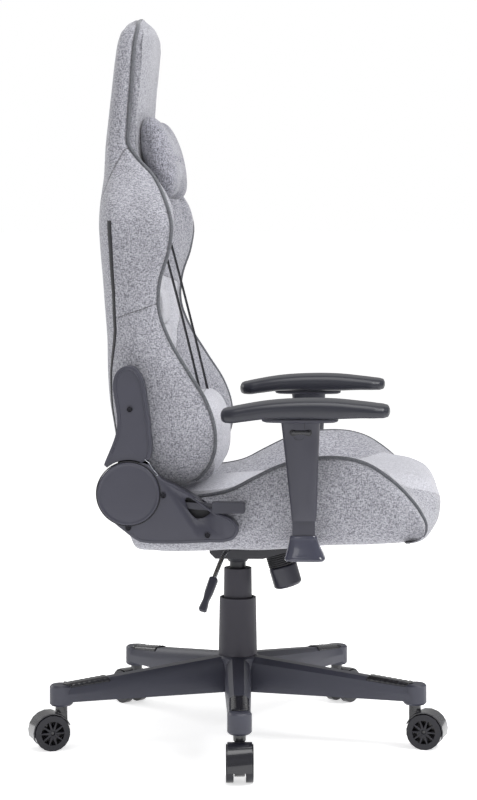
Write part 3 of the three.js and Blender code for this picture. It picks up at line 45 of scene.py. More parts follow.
# Camera: it stands level to the sitter's right, 0.89 m up, and looks past the chair's side. The photograph keeps
# its uprights straight and has the horizon high in its frame, which takes this shift.
eye = Vector((0.205, -3.895, 0.889))
yaw = math.radians(2.7)
camera = bpy.data.objects.new("camera", bpy.data.cameras.new("camera"))
camera.data.lens = 100.3
camera.data.shift_x = -0.0144
camera.data.shift_y = -0.2175
camera.location = eye
camera.rotation_euler = (math.pi / 2, 0, yaw)
bpy.context.scene.collection.objects.link(camera)
bpy.context.scene.camera = camera
bpy.context.scene.view_settings.view_transform = "Standard"


# Studio: a pale painted floor without an edge, a white room round it, and four soft boxes. The floor's paint is
# a little self-lit, as a lit table is, so that only the shade under the chair shows on it.
def linear(colour):
    """A colour written as sRGB hex, in the linear values that a shader takes."""
    parts = [int(colour[i:i + 2], 16) / 255 for i in (0, 2, 4)]
    return [part / 12.92 if part < 0.04045 else ((part + 0.055) / 1.055) ** 2.4 for part in parts] + [1]


def add_node(tree, kind, inputs=None, **settings):
    """One shader node: each input is a value, a hex colour or another node's output."""
    node = tree.nodes.new("ShaderNode" + kind)
    for name, value in settings.items():
        setattr(node, name, value)
    for key, value in (inputs or {}).items():
        if isinstance(value, bpy.types.NodeSocket):
            tree.links.new(value, node.inputs[key])
        else:
            node.inputs[key].default_value = linear(value) if isinstance(value, str) else value
    return node


def new_material(name, **sockets):
    """A material, its node tree and its shader, with the shader's even values set on its own sockets."""
    material = bpy.data.materials.new(name)
    material.use_nodes = True
    shader = material.node_tree.nodes["Principled BSDF"]
    for key, value in sockets.items():
        socket = shader.inputs[key.replace("_", " ")]
        socket.default_value = linear(value) if isinstance(value, str) else value
    return material, material.node_tree, shader


def in_millimetres(tree, stretch=(1, 1, 1)):
    """Places on the piece, in millimetres, divided by a stretch along each axis."""
    place = add_node(tree, "TexCoord").outputs["Object"]
    scale = tuple(1 / (MM * part) for part in stretch)
    return add_node(tree, "Mapping", {"Vector": place, "Scale": scale}).outputs["Vector"]


def made(name, bm, material=None, body=None, slot=None):
    """A finished bmesh as an object of the scene, riding on a body of the frame."""
    mesh = bpy.data.meshes.new(name)
    bm.to_mesh(mesh)
    bm.free()
    piece = bpy.data.objects.new(name, mesh)
    bpy.context.scene.collection.objects.link(piece)
    mesh.shade_smooth()
    if material:
        mesh.materials.append(material)
    if body:
        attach(piece, body)
    return piece


floor_paint, tree, shader = new_material("floor_paint", Roughness=0.9, Emission_Strength=0.62)
shader.inputs["Emission Color"].default_value = linear("ffffff")
speckle = add_node(tree, "TexNoise", {"Vector": in_millimetres(tree), "Scale": 1 / 90, "Detail": 4})
tone = add_node(tree, "Mix", {0: speckle.outputs["Fac"], 6: "f2f2f2", 7: "f6f6f6"}, data_type="RGBA")
tree.links.new(tone.outputs[2], shader.inputs["Base Color"])
bm = bmesh.new()
bmesh.ops.create_circle(bm, cap_ends=True, segments=96, radius=300)
made("floor", bm, floor_paint)

world = bpy.data.worlds.new("studio")
world.use_nodes = True
sky = world.node_tree.nodes["Background"]
sky.inputs["Color"].default_value = linear("ffffff")
seen = add_node(world.node_tree, "LightPath").outputs["Is Camera Ray"]
glow = add_node(world.node_tree, "MapRange", {0: seen, 3: 0.46, 4: 1.0})
world.node_tree.links.new(glow.outputs[0], sky.inputs["Strength"])
bpy.context.scene.world = world

soft_boxes = {
    "overhead": [(0.3, -0.4, 3.2), 2.0, 42],
    "front_key": [(2.5, -1.1, 3.2), 1.5, 74],
    "side_fill": [(-1.0, -4.4, 2.0), 1.8, 19],
    "rear_rim": [(-2.6, 1.8, 1.8), 1.4, 18],
}
for name, (place, size, watts) in soft_boxes.items():
    lamp = bpy.data.lights.new(name, "AREA")
    lamp.size = size
    lamp.energy = watts
    box = bpy.data.objects.new(name, lamp)
    box.location = place
    box.rotation_euler = (Vector((0, 0, 0.6)) - Vector(place)).to_track_quat("-Z", "Y").to_euler()
    bpy.context.scene.collection.objects.link(box)


# Star base: one injection moulding in glass-filled nylon, matt with a spark-eroded grain. The CAD solid is the
# shape; its edges get the mould's small radii here. On each leg's end lies a glossy ribbed foot plate.
def two_tones(colour, low, high):
    """A darker and a lighter tone of a colour, as a shader takes them."""
    return [[part * gain for part in linear(colour)[:3]] + [1] for gain in (low, high)]


def moulded(name, colour, roughness, grain, relief, **sockets):
    """Moulded plastic or rubber: a grain of so many mm, so deep, and slow changes of tone from the flow."""
    material, tree, shader = new_material(name, Roughness=roughness, **sockets)
    place = in_millimetres(tree)
    flow = add_node(tree, "TexNoise", {"Vector": place, "Scale": 1 / 70, "Detail": 3})
    dark, light = two_tones(colour, 0.86, 1.16)
    tone = add_node(tree, "Mix", {0: flow.outputs["Fac"], 6: dark, 7: light}, data_type="RGBA")
    tree.links.new(tone.outputs[2], shader.inputs["Base Color"])
    pits = add_node(tree, "TexNoise", {"Vector": place, "Scale": 1 / grain, "Detail": 2})
    haze = add_node(tree, "MapRange", {0: pits.outputs["Fac"], 3: roughness * 0.88, 4: roughness * 1.12})
    tree.links.new(haze.outputs[0], shader.inputs["Roughness"])
    bump = add_node(tree, "Bump", {"Height": pits.outputs["Fac"], "Distance": relief * MM})
    tree.links.new(bump.outputs["Normal"], shader.inputs["Normal"])
    return material


def eased(piece, radius, segments=2, angle=34, weld=False):
    """Small moulded radii along an object's sharp edges, and clean shading on its flats."""
    piece.data.shade_smooth()
    if weld:
        piece.modifiers.new("joined", "WELD").merge_threshold = 2e-5
    bevel = piece.modifiers.new("edges", "BEVEL")
    bevel.width = radius * MM
    bevel.segments = segments
    bevel.limit_method = "ANGLE"
    bevel.angle_limit = math.radians(angle)
    bevel.use_clamp_overlap = True
    piece.modifiers.new("flats", "WEIGHTED_NORMAL").keep_sharp = True


def dress(material, radius, *names):
    """A material and its edge radius for CAD solids whose own shape stays."""
    for name in names:
        piece = solids[name]
        for slot in piece.material_slots:
            slot.material = material
        eased(piece, radius, weld=True)


nylon = moulded("glass_filled_nylon", "393a46", 0.42, 1.4, 0.05)
gloss_abs = moulded("polished_abs", "1b1b21", 0.26, 6, 0.01, Coat_Weight=0.25, Coat_Roughness=0.12)
dress(nylon, 1.6, "star_base")


def surface_of(piece):
    """The mesh of a piece at rest, ready to be hit by rays."""
    mesh = piece.data
    corners = [piece.matrix_world @ vertex.co for vertex in mesh.vertices]
    return BVHTree.FromPolygons(corners, [list(face.vertices) for face in mesh.polygons])


def through(knots, values, places):
    """Values on a smooth curve through the knots: a cubic between knots, with slopes from their neighbours."""
    knots, values, places = (np.asarray(part, float) for part in (knots, values, places))
    places = np.clip(places, knots[0], knots[-1])
    slopes = np.gradient(values, knots, axis=0)
    at = np.clip(np.searchsorted(knots, places, side="right") - 1, 0, len(knots) - 2)
    shape = (-1,) + (1,) * (values.ndim - 1)
    gap = (knots[at + 1] - knots[at]).reshape(shape)
    t = (places - knots[at]).reshape(shape) / gap
    start, end = values[at], values[at + 1]
    return (start * (1 + 2 * t) * (1 - t) ** 2 + end * t * t * (3 - 2 * t)
            + gap * t * (1 - t) * (slopes[at] * (1 - t) - slopes[at + 1] * t))


def skin(name, places, material, body, slot, fields=None, closed=True):
    """A skin over a grid of places in mm: rows of points, closed round each row and at both ends if asked."""
    rows, columns = places.shape[:2]
    bm = bmesh.new()
    layers = [(bm.verts.layers.float.new(key), values) for key, values in (fields or {}).items()]
    lengths = bm.loops.layers.uv.new("lengths")
    bmesh.ops.create_grid(bm, x_segments=columns - 1, y_segments=rows - 1, size=0.5, calc_uvs=True)
    size = [np.linalg.norm(np.diff(places, axis=axis), axis=2).sum(axis=axis).mean() for axis in (1, 0)]
    for face in bm.faces:
        for loop in face.loops:
            loop[lengths].uv = [loop.vert.co.x * size[0] + size[0] / 2, loop.vert.co.y * size[1] + size[1] / 2]
    for vertex in bm.verts:
        row, column = round((vertex.co.y + 0.5) * (rows - 1)), round((vertex.co.x + 0.5) * (columns - 1))
        for layer, values in layers:
            vertex[layer] = float(values[row, column])
        vertex.co = places[row, column] * MM
    if closed:
        bmesh.ops.remove_doubles(bm, verts=bm.verts, dist=1e-6)
        ends = [edge for edge in bm.edges if edge.is_boundary]
        caps = bmesh.ops.holes_fill(bm, edges=ends, sides=0)["faces"]
        bmesh.ops.triangulate(bm, faces=caps)
        bmesh.ops.recalc_face_normals(bm, faces=bm.faces)
    return made(name, bm, material, body, slot)


legs = surface_of(solids["star_base"])
first_leg, plate_reach, plate_half, plate_round = -86.5, (240, 314), 15.5, 5
plate_height, rib_height, rib_pitch, rib_slant = 0.7, 0.28, 9.2, 9
for number, turn in enumerate(math.radians(first_leg + 72 * i) for i in range(5)):
    leg, beside = Vector((math.cos(turn), math.sin(turn), 0)), Vector((-math.sin(turn), math.cos(turn), 0))
    ribs = np.zeros((53, 9, 3))
    for i, reach in enumerate(np.linspace(*plate_reach, len(ribs))):
        for j, share in enumerate(np.linspace(-1, 1, 9)):
            spot = leg * (reach - plate_round * abs(share)) + beside * share * plate_half
            hit = legs.ray_cast(Vector((spot.x, spot.y, 400)) * MM, Vector((0, 0, -1)))[0]
            rim = 0 if i in (0, len(ribs) - 1) or abs(share) == 1 else 1
            wave = rib_height * math.sin((reach + rib_slant * share) * math.tau / rib_pitch)
            ribs[i, j] = spot.x, spot.y, hit.z / MM + 0.2 + rim * (plate_height + wave)
    foot_plate = skin(f"foot_plate_{number + 1}", ribs, gloss_abs, "base", "gloss_black", closed=False)
    foot_plate.modifiers.new("depth", "SOLIDIFY").thickness = 1.2 * MM


# Casters: gloss ABS hoods, in one piece with their stem and axle, and twin spoked wheels with a smooth, shiny
# polyurethane tread. They are the CAD solids with rounded edges.
tread = moulded("polyurethane_tread", "181820", 0.16, 2, 0.01, Specular_IOR_Level=0.38)
hood_abs = moulded("gloss_abs_hood", "17171f", 0.2, 5, 0.012, Coat_Weight=0.4, Coat_Roughness=0.08)
for number in range(1, 6):
    dress(hood_abs, 1.2, f"caster_hood_{number}")
    dress(tread, 0.8, f"caster_wheel_{number}a", f"caster_wheel_{number}b")


# Gas lift: a painted steel tube, a chromed rod and a black cylinder under two telescoping dust sleeves, which are
# matt polypropylene mouldings.
def metal(name, colour, roughness, metallic, grain, stretch=(1, 1, 1), **sockets):
    """Steel, painted, blackened or bright: a fine grain in its gloss, drawn out along the way it was worked."""
    material, tree, shader = new_material(name, Metallic=metallic, **sockets)
    place = in_millimetres(tree, stretch)
    grit = add_node(tree, "TexNoise", {"Vector": place, "Scale": 1 / grain, "Detail": 5})
    haze = add_node(tree, "MapRange", {0: grit.outputs["Fac"], 3: roughness * 0.75, 4: roughness * 1.3})
    tree.links.new(haze.outputs[0], shader.inputs["Roughness"])
    dark, light = two_tones(colour, 0.85, 1.15)
    tone = add_node(tree, "Mix", {0: grit.outputs["Fac"], 6: dark, 7: light}, data_type="RGBA")
    tree.links.new(tone.outputs[2], shader.inputs["Base Color"])
    bump = add_node(tree, "Bump", {"Height": grit.outputs["Fac"], "Distance": 0.03 * MM})
    tree.links.new(bump.outputs["Normal"], shader.inputs["Normal"])
    return material


matt_polypropylene = moulded("matt_polypropylene", "2e2c36", 0.55, 1.2, 0.06)
painted_steel = metal("powder_coated_steel", "25252c", 0.42, 0.0, 0.9)
chrome = metal("chromed_steel", "c9cbd0", 0.12, 1.0, 4, (1, 1, 0.2))
black_steel = metal("blackened_steel", "2b2b30", 0.35, 0.8, 3)
zinc = metal("zinc_plated_steel", "b9bcc2", 0.26, 1.0, 2.5, (0.3, 1, 1))
dress(matt_polypropylene, 1.0, "dust_sleeve_lower", "dust_sleeve_upper")
dress(painted_steel, 0.5, "lift_outer_tube", "gas_cylinder")
dress(chrome, 0.3, "piston_rod", "valve_pin")


# Tilt mechanism: pressed steel housing and top plate in black powder coat, a coil spring in a rubber boot, and a
# moulded knob on a bolt. The height lever is a bent steel rod with a moulded grip.
rubber = moulded("moulded_rubber", "232327", 0.6, 1.8, 0.05)
satin_knob = moulded("satin_polypropylene_knob", "2d2d38", 0.34, 2.2, 0.03)
dress(painted_steel, 1.2, "tilt_housing", "tilt_plate", "lever_rocker")
dress(zinc, 0.4, "tilt_pivot_pin")
dress(black_steel, 0.3, "tension_spring")
dress(zinc, 0.3, "height_lever_rod")
dress(satin_knob, 1.2, "tension_knob", "height_lever_grip")


def spun(profile, centre, axis, steps, closed=False):
    """A bmesh spun round an axis from a profile of places in metres, which a ring closes."""
    bm = bmesh.new()
    points = [bm.verts.new(place) for place in profile]
    lines = [bm.edges.new(pair) for pair in zip(points, points[1:] + points[:1] * closed)]
    bmesh.ops.spin(bm, geom=points + lines, cent=centre, axis=axis, angle=math.tau, steps=steps, use_merge=True)
    return bm


lean = math.radians(16)
axis = Vector((math.sin(lean), 0, -math.cos(lean)))
beside = Vector((math.cos(lean), 0, math.sin(lean)))
boot_top = Vector((71, 0, 322.2))
fold_pitch = 3.55
profile = [(14.2, 0.4), (21.4, 0.4), (21.5, 1.2)]
for fold in range(7):
    start = 1.2 + fold * fold_pitch
    profile += [(24.2, start + 0.7), (24.5, start + 1.8), (24.2, start + 2.9), (21.7, start + 3.5)]
profile += [(21.4, 26.2), (14.2, 26.2)]
places = [(boot_top + beside * reach + axis * along) * MM for reach, along in profile]
bm = spun(places, boot_top * MM, axis, 48, True)
bmesh.ops.recalc_face_normals(bm, faces=bm.faces)
boot = made("spring_boot", bm, rubber, "lift", "rubber")
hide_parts("tension_boot")


# Seat: a moulded foam cushion on a plywood board, in heathered polyester cloth with tall side bolsters. The cover
# is sewn from a light middle panel and darker sides, with a thick grey piping along the bolsters' crests.
def weave(tree, pitch):
    """Threads of a plain weave, so many mm apart, along the piece's own lengths."""
    threads = add_node(tree, "UVMap", uv_map="lengths").outputs[0]
    turned = add_node(tree, "VectorMath", {0: threads, "Scale": math.tau / pitch}, operation="SCALE")
    parts = add_node(tree, "SeparateXYZ", {0: turned.outputs[0]})
    waves = [add_node(tree, "Math", {0: parts.outputs[i]}, operation="SINE").outputs[0] for i in (0, 1)]
    return add_node(tree, "Math", {0: waves[0], 1: waves[1]}, operation="MULTIPLY").outputs[0]


def woven(name, dark, light, other=None):
    """Heathered cloth: its slubs make the tone uneven, and a short pile gives the soft edge light. They are drawn
    1.5 by 4 mm, coarser than real, so that they show. Seams pull it in, and painted shade darkens the cloth along
    them. It has a second cloth where asked."""
    material, tree, shader = new_material(name, Roughness=0.92, Sheen_Weight=0.3, Sheen_Roughness=0.45)
    warp = add_node(tree, "TexNoise", {"Vector": in_millimetres(tree, (1.5, 1.5, 4.2)), "Scale": 1, "Detail": 3})
    weft = add_node(tree, "TexNoise", {"Vector": in_millimetres(tree, (4.2, 4.2, 1.5)), "Scale": 1, "Detail": 3})
    worn = add_node(tree, "TexNoise", {"Vector": in_millimetres(tree), "Scale": 1 / 130, "Detail": 3})
    slub = add_node(tree, "Math", {0: warp.outputs["Fac"], 1: weft.outputs["Fac"]}, operation="ADD")
    heather = add_node(tree, "MapRange", {0: slub.outputs[0], 1: 0.78, 2: 1.22})
    tone = add_node(tree, "Mix", {0: heather.outputs[0], 6: dark, 7: light}, data_type="RGBA").outputs[2]
    if other:
        second = add_node(tree, "Mix", {0: heather.outputs[0], 6: other[0], 7: other[1]}, data_type="RGBA")
        reach = add_node(tree, "Attribute", attribute_name="light")
        part = add_node(tree, "MapRange", {0: reach.outputs["Fac"], 1: -0.6, 2: 0.6})
        mixed = add_node(tree, "Mix", {0: part.outputs[0], 6: tone, 7: second.outputs[2]}, data_type="RGBA")
        tone = mixed.outputs[2]
    # Painted shade: the colour is darkened to 0.42 at each seam and back to full by 1.9 mm, as the shade in the
    # seam's crease.
    gap = add_node(tree, "Attribute", attribute_name="seam")
    stitch = add_node(tree, "MapRange", {0: gap.outputs["Fac"], 1: 0.2, 2: 1.9}, interpolation_type="SMOOTHSTEP")
    shade = add_node(tree, "MapRange", {0: stitch.outputs[0], 3: 0.42, 4: 1.0})
    fade = add_node(tree, "MapRange", {0: worn.outputs["Fac"], 1: 0.3, 2: 0.7, 3: 0.95, 4: 1.05})
    both = add_node(tree, "Math", {0: shade.outputs[0], 1: fade.outputs[0]}, operation="MULTIPLY")
    colour = add_node(tree, "VectorMath", {0: tone, "Scale": both.outputs[0]}, operation="SCALE")
    tree.links.new(colour.outputs[0], shader.inputs["Base Color"])
    knots = add_node(tree, "Math", {0: slub.outputs[0], 1: weave(tree, 2.4)}, operation="ADD")
    bump = add_node(tree, "Bump", {"Height": knots.outputs[0], "Distance": 0.16 * MM})
    pull = add_node(tree, "Bump", {"Height": stitch.outputs[0], "Distance": 1.6 * MM,
                                   "Normal": bump.outputs["Normal"]})
    tree.links.new(pull.outputs["Normal"], shader.inputs["Normal"])
    return material


def round_rings(half_rings, stations, turns):
    """Closed rings, at the given turns, through half rings that start at the middle of one side, go round the
    sitter's right and end at the middle of the other side."""
    rings = np.concatenate([half_rings, (half_rings * (1, -1, 1))[:, -2:0:-1]], axis=1)
    knots = list(stations) + [1 - turn for turn in reversed(stations[1:-1])]
    knots = [turn - 1 for turn in knots[-3:]] + knots + [turn + 1 for turn in knots[:3]]
    values = np.concatenate([rings[:, -3:], rings, rings[:, :3]], axis=1).transpose(1, 0, 2)
    return through(knots, values, turns).transpose(1, 0, 2)


def outward(places):
    """The way outwards at each place of a grid that is closed round its columns."""
    along = np.gradient(places, axis=0)
    wrapped = np.concatenate([places[:, -2:-1], places, places[:, 1:2]], axis=1)
    across = (wrapped[:, 2:] - wrapped[:, :-2]) / 2
    normal = np.cross(across, along)
    normal /= np.maximum(np.linalg.norm(normal, axis=2, keepdims=True), 1e-9)
    middle = places.reshape(-1, 3).mean(axis=0)
    return normal if ((places - middle) * normal).sum() > 0 else -normal


def puffed(places, sewn, cap, pressure=4.0, stiffness=12.0):
    """Cloth simulation of a closed skin that is held where sewn is 1: how far each point moves, in mm."""
    still = np.zeros_like(places)
    rows, columns = places.shape[:2]
    order = np.arange(rows * columns).reshape(rows, columns)
    trial = skin("trial", places, None, None, None, {"sewn": sewn, "order": order})
    held = trial.vertex_groups.new(name="held")
    holds = [item.value for item in trial.data.attributes["sewn"].data]
    spots = np.array([round(item.value) for item in trial.data.attributes["order"].data])
    for index, hold in enumerate(holds):
        if hold > 0.01:
            held.add([index], min(1.0, hold), "REPLACE")
    cloth = trial.modifiers.new("cloth", "CLOTH")
    cloth.settings.use_pressure = True
    cloth.settings.uniform_pressure_force = pressure
    cloth.settings.effector_weights.gravity = 0
    cloth.settings.vertex_group_mass = "held"
    cloth.settings.mass = 0.3
    cloth.settings.quality = 4
    for way in ("tension", "compression", "shear"):
        setattr(cloth.settings, f"{way}_stiffness", stiffness)
    cloth.settings.bending_stiffness = 0.4
    cloth.collision_settings.use_collision = False
    cloth.collision_settings.use_self_collision = False
    for step in range(1, 21):
        bpy.context.scene.frame_set(step)
    view = trial.evaluated_get(bpy.context.evaluated_depsgraph_get())
    reached = np.array([vertex.co[:] for vertex in view.data.vertices]) / MM
    bpy.context.scene.frame_set(1)
    bpy.data.objects.remove(trial)
    flat = still.reshape(-1, 3)
    flat[spots] = reached - places.reshape(-1, 3)[spots]
    moved = flat.reshape(places.shape)
    moved[:, -1] = moved[:, 0]
    far = np.linalg.norm(moved, axis=2, keepdims=True)
    return moved * np.minimum(1, cap / np.maximum(far, 1e-6))


def seamed_turns(count, seams):
    """Turns round a ring, evenly spread, with three close ones at each seam."""
    close = [seam + np.array([-0.003, 0, 0.003]) for seam in seams]
    return np.unique(np.round(np.concatenate([np.linspace(0, 1, count)] + close), 5))


def held(rows, turns, seams):
    """How firmly a cover is held at each place by its seams and by both ends: 1 lets nothing move."""
    ends = np.minimum(np.arange(len(rows)), np.arange(len(rows))[::-1])
    hold = 1 - ends[:, None] / 5 + 0 * turns[None]
    for seam in seams:
        hold = np.maximum(hold, 1 - np.abs(turns - seam)[None] / 0.012)
    return np.clip(hold, 0, 1)


def padded_skin(shape, rows, turns, sewn, cap, **cloth):
    """Places on a finer grid after the simulation of a coarse one. shape(rows, turns) gives places in mm. Most of
    the even swelling is taken off again, because the shape has its crown already, and the folds stay."""
    coarse_rows, coarse_turns = np.linspace(rows[0], rows[-1], 90), np.linspace(0, 1, 111)
    coarse = shape(coarse_rows, coarse_turns)
    moved = puffed(coarse, sewn(coarse_rows, coarse_turns), cap, **cloth)
    swell = moved.copy()
    for _ in range(40):
        ringed = np.concatenate([swell[:, -2:-1], swell, swell[:, 1:2]], axis=1)
        swell = (ringed[:, :-2] + 2 * ringed[:, 1:-1] + ringed[:, 2:]) / 4
        swell[1:-1] = (swell[:-2] + 2 * swell[1:-1] + swell[2:]) / 4
    moved = moved - 0.85 * swell
    moved = through(coarse_rows, moved, rows)
    moved = through(coarse_turns, moved.transpose(1, 0, 2), turns).transpose(1, 0, 2)
    return shape(rows, turns) + moved


def piping(name, points, radius, material, body):
    """A covered cord sewn into a seam, through points in mm."""
    curve = bpy.data.curves.new(name, "CURVE")
    curve.dimensions = "3D"
    curve.bevel_depth = radius * MM
    curve.bevel_resolution = 4
    curve.use_fill_caps = True
    line = curve.splines.new("NURBS")
    line.points.add(len(points) - 1)
    for point, place in zip(line.points, points):
        point.co = (*(np.asarray(place) * MM), 1)
    line.use_endpoint_u = True
    line.order_u = 4
    piece = bpy.data.objects.new(name, curve)
    bpy.context.scene.collection.objects.link(piece)
    curve.materials.append(material)
    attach(piece, body)
    return piece


def steps_between(values, low=0, high=1):
    """0 up to the low value, 1 from the high one on, and a soft step between."""
    share = np.clip((values - low) / (high - low), 0, 1)
    return share ** 2 * (3 - 2 * share)


plywood, tree, shader = new_material("birch_plywood", Roughness=0.6)
rings = add_node(tree, "TexWave", {"Vector": in_millimetres(tree, (60, 9, 9)), "Scale": 1.0, "Distortion": 3.0})
tone = add_node(tree, "Mix", {0: rings.outputs["Fac"], 6: "4b463f", 7: "5b544b"}, data_type="RGBA")
tree.links.new(tone.outputs[2], shader.inputs["Base Color"])
bump = add_node(tree, "Bump", {"Height": rings.outputs["Fac"], "Distance": 0.05 * MM})
tree.links.new(bump.outputs["Normal"], shader.inputs["Normal"])
dress(plywood, 1.0, "seat_board")

seat_ribs = np.array([
    [-.01, .38, -.008, .38, -.008, .14], [.012, .50, .015, .50, .008, .04], [.08, .55, .08, .53, .07, .01],
    [.22, .575, .22, .555, .22, .01], [.315, .64, .315, .58, .315, .03], [.39, .77, .39, .60, .39, .035],
    [.48, .915, .48, .63, .48, .06], [.56, .98, .565, .66, .56, .09], [.63, 1, .64, .70, .63, .105],
    [.70, .98, .72, .74, .70, .11], [.755, .92, .80, .775, .755, .11], [.805, .815, .865, .78, .80, .11],
    [.85, .69, .918, .745, .845, .11], [.89, .545, .957, .665, .88, .11], [.92, .40, .98, .53, .90, .105],
    [.936, .26, .99, .37, .91, .10], [.932, .19, .983, .23, .91, .095], [.917, .135, .962, .135, .89, .09],
    [.888, .09, .92, .085, .87, .085],
])
seat_turns = [0, .128, .201, .218, .256, .298, .313, .351, .393, .404, .5]
seat_piping_turns, seat_panel_turns = (0.313, 0.687), (0.393, 0.607)
seat_half, seat_panel_half, board_top = 255, 132.6, 387
seat_size, seat_corner = (514, 151), (-161, 358)
crest_line = seat_ribs[:, :2] * seat_size
rib_places = np.concatenate([[0], np.cumsum(np.linalg.norm(np.diff(crest_line, axis=0), axis=1))])


def seat_shape(rows, turns):
    """Seat rings at the given ways along the crest, in mm, before the foam swells."""
    def mix(start, end, share):
        return start + (end - start) * share

    def side(half, lift=0):
        return np.stack(np.broadcast_arrays(0, -half, lift + 0 * rows), axis=-1)

    ribs = through(rib_places, seat_ribs, rows) * (seat_size * 3) + (seat_corner * 3)
    ridge, panel, base = [np.insert(ribs[:, i:i + 2], 1, 0, axis=1) for i in (0, 2, 4)]
    crest = seat_half - 13
    groove = -4 * (1 - steps_between(ribs[:, 2], low=180, high=270))
    front = steps_between(ribs[:, 2], low=225, high=290)
    ring = [
        base, base + side(0.6 * seat_half), base + side(0.94 * seat_half),
        mix(base, ridge, 0.16) + side(0.985 * seat_half), mix(base, ridge, 0.5) + side(seat_half),
        mix(base, ridge, 0.88) + side(0.99 * seat_half), ridge + side(crest),
        mix(panel, ridge, 0.62) + side((crest + seat_panel_half) / 2 + 9, 4.5 - 12 * front),
        mix(panel, ridge, 0.06) + side(seat_panel_half, groove),
        panel + side(seat_panel_half - 13), panel + side(0, 3),
    ]
    return round_rings(np.stack(ring, axis=1), seat_turns, turns)


def seat_sewn(rows, turns):
    """Held at the piping, at the panel's seams, on the board and at both ends."""
    hold = held(rows, turns, seat_piping_turns + seat_panel_turns)
    hold[:, (turns < 0.2) | (turns > 0.8)] = 1
    return hold


rows = np.linspace(0, rib_places[-1], 190)
turns = seamed_turns(260, seat_piping_turns + seat_panel_turns)
places = padded_skin(seat_shape, rows, turns, seat_sewn, 6)
x, y, z = places.transpose(2, 0, 1)
over_board = (x > -137) & (x < 284) & (np.abs(y) < 213) & (z < board_top)
z[over_board] = board_top
girth = np.linalg.norm(np.diff(places, axis=1), axis=2).sum(axis=1).mean()
right, left = seat_piping_turns
crest_gap = (np.minimum(np.abs(turns - right), np.abs(turns - left)) * girth)[None] + 0 * x
on_top = ((turns > right) & (turns < left))[None]
# The light panel is as wide as this at places from rear to front, and ends on a curve below the front edge.
panel_x = [-200, 60, 200, 235, 255, 268, 280, 300, 400]
panel_half = [132, 132, 134, 140, 158, 200, 262, 262, 262]
wide = through(panel_x, panel_half, x.ravel()).reshape(x.shape) - np.abs(y)
front_gap = np.where(x > 200, z - (425 + 50 * (y / 245) ** 2), x + 118)
light = np.where(on_top, np.minimum(wide, front_gap), -9)
fold = np.abs(light) + 20 * (~on_top | (front_gap < wide))
# This seam distance darkens the cover as painted shade along the piping and the light panel's side seams.
seam = np.minimum(crest_gap, fold)
seat_cloth = woven("heathered_polyester", "6a6a72", "bbbbc3", ("a2a2aa", "cbcbd2"))
seat = skin("seat_cover", places, seat_cloth, "seat", "grey_fabric", {"light": light, "seam": seam})
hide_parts("seat_cushion")
piping_cloth = woven("piping_cloth", "74767e", "94969e")
for side_name, turn in zip(("right", "left"), seat_piping_turns):
    column = int(np.argmin(np.abs(turns - turn)))
    line = places[4:-7:2, column] + outward(places)[4:-7:2, column] * 1.2
    piping(f"seat_piping_{side_name}", line, 3.0, piping_cloth, "seat")


# Recliner: steel plates on the seat and on the back, turning on a cross shaft, under moulded satin covers. The
# disc of the lower cover hides the joint, and screws hold the covers on.
satin = moulded("satin_grained_polypropylene", "363642", 0.4, 1.3, 0.05)
dress(painted_steel, 0.8, "lower_bracket_right", "lower_bracket_left", "upper_bracket_right", "upper_bracket_left")
bracket_paint = metal("powder_coated_bracket", "32323d", 0.42, 0.0, 0.9)
dress(bracket_paint, 0.8, "armrest_bracket_right", "armrest_bracket_left")
dress(zinc, 0.6, "recliner_shaft")
dress(satin_knob, 0.8, "recline_lever")


def smooth_outline(points, count):
    """A closed smooth outline through points, as so many places."""
    points = np.asarray(points, float)
    wrapped = np.concatenate([points[-3:], points, points[:3]])
    steps = np.linalg.norm(np.diff(wrapped, axis=0), axis=1)
    knots = np.concatenate([[0], np.cumsum(steps)])
    return through(knots, wrapped, np.linspace(knots[3], knots[len(points) + 3], count, endpoint=False))


def drawn_out(bm, outline, start, end, side):
    """A face over an outline of x and z in mm at y start, drawn out to y end: its first rim and what was added."""
    face = bm.faces.new([bm.verts.new((x * MM, side * start * MM, z * MM)) for x, z in outline])
    rim = list(face.edges)
    walls = bmesh.ops.extrude_face_region(bm, geom=[face])["geom"]
    corners = [item for item in walls if isinstance(item, bmesh.types.BMVert)]
    bmesh.ops.translate(bm, verts=corners, vec=(0, side * (end - start) * MM, 0))
    return rim, walls


def shell(name, outline, outer, inner, wall, round_off, material, body, slot, side):
    """A cover moulded over an outline of x and z in mm: a face at y outer, walls back to y inner, hollow behind."""
    bm = bmesh.new()
    rim, walls = drawn_out(bm, outline, outer, inner, side)
    inner_face = [item for item in walls if isinstance(item, bmesh.types.BMFace)]
    bmesh.ops.delete(bm, geom=inner_face, context="FACES_ONLY")
    bmesh.ops.bevel(bm, geom=rim, offset=round_off * MM, segments=5, profile=0.5, affect="EDGES", material=-1,
                    clamp_overlap=True)
    bmesh.ops.recalc_face_normals(bm, faces=bm.faces)
    piece = made(name, bm, material, body, slot)
    if (piece.data.polygons[0].normal.y * side < 0) == (abs(piece.data.polygons[0].normal.y) > 0.9):
        piece.data.flip_normals()
    thick = piece.modifiers.new("wall", "SOLIDIFY")
    thick.thickness = wall * MM
    thick.offset = -1
    return piece


def drawn_in(outline, distance):
    """An outline of x and z moved inwards by a distance."""
    outline = np.asarray(outline, float)
    ahead = np.roll(outline, -1, axis=0)
    along = ahead - np.roll(outline, 1, axis=0)
    normal = np.stack([-along[:, 1], along[:, 0]], axis=1) / np.linalg.norm(along, axis=1, keepdims=True)
    area = (outline[:, 0] * ahead[:, 1] - outline[:, 1] * ahead[:, 0]).sum()
    return outline + normal * distance * (1 if area > 0 else -1)


def rib_along(name, outline, height, radius, body, side, material):
    """A raised round rib, or a plate's bright edge, along x and z in mm at a height outwards."""
    return piping(name, [(x, side * height, z) for x, z in outline], radius, material, body)


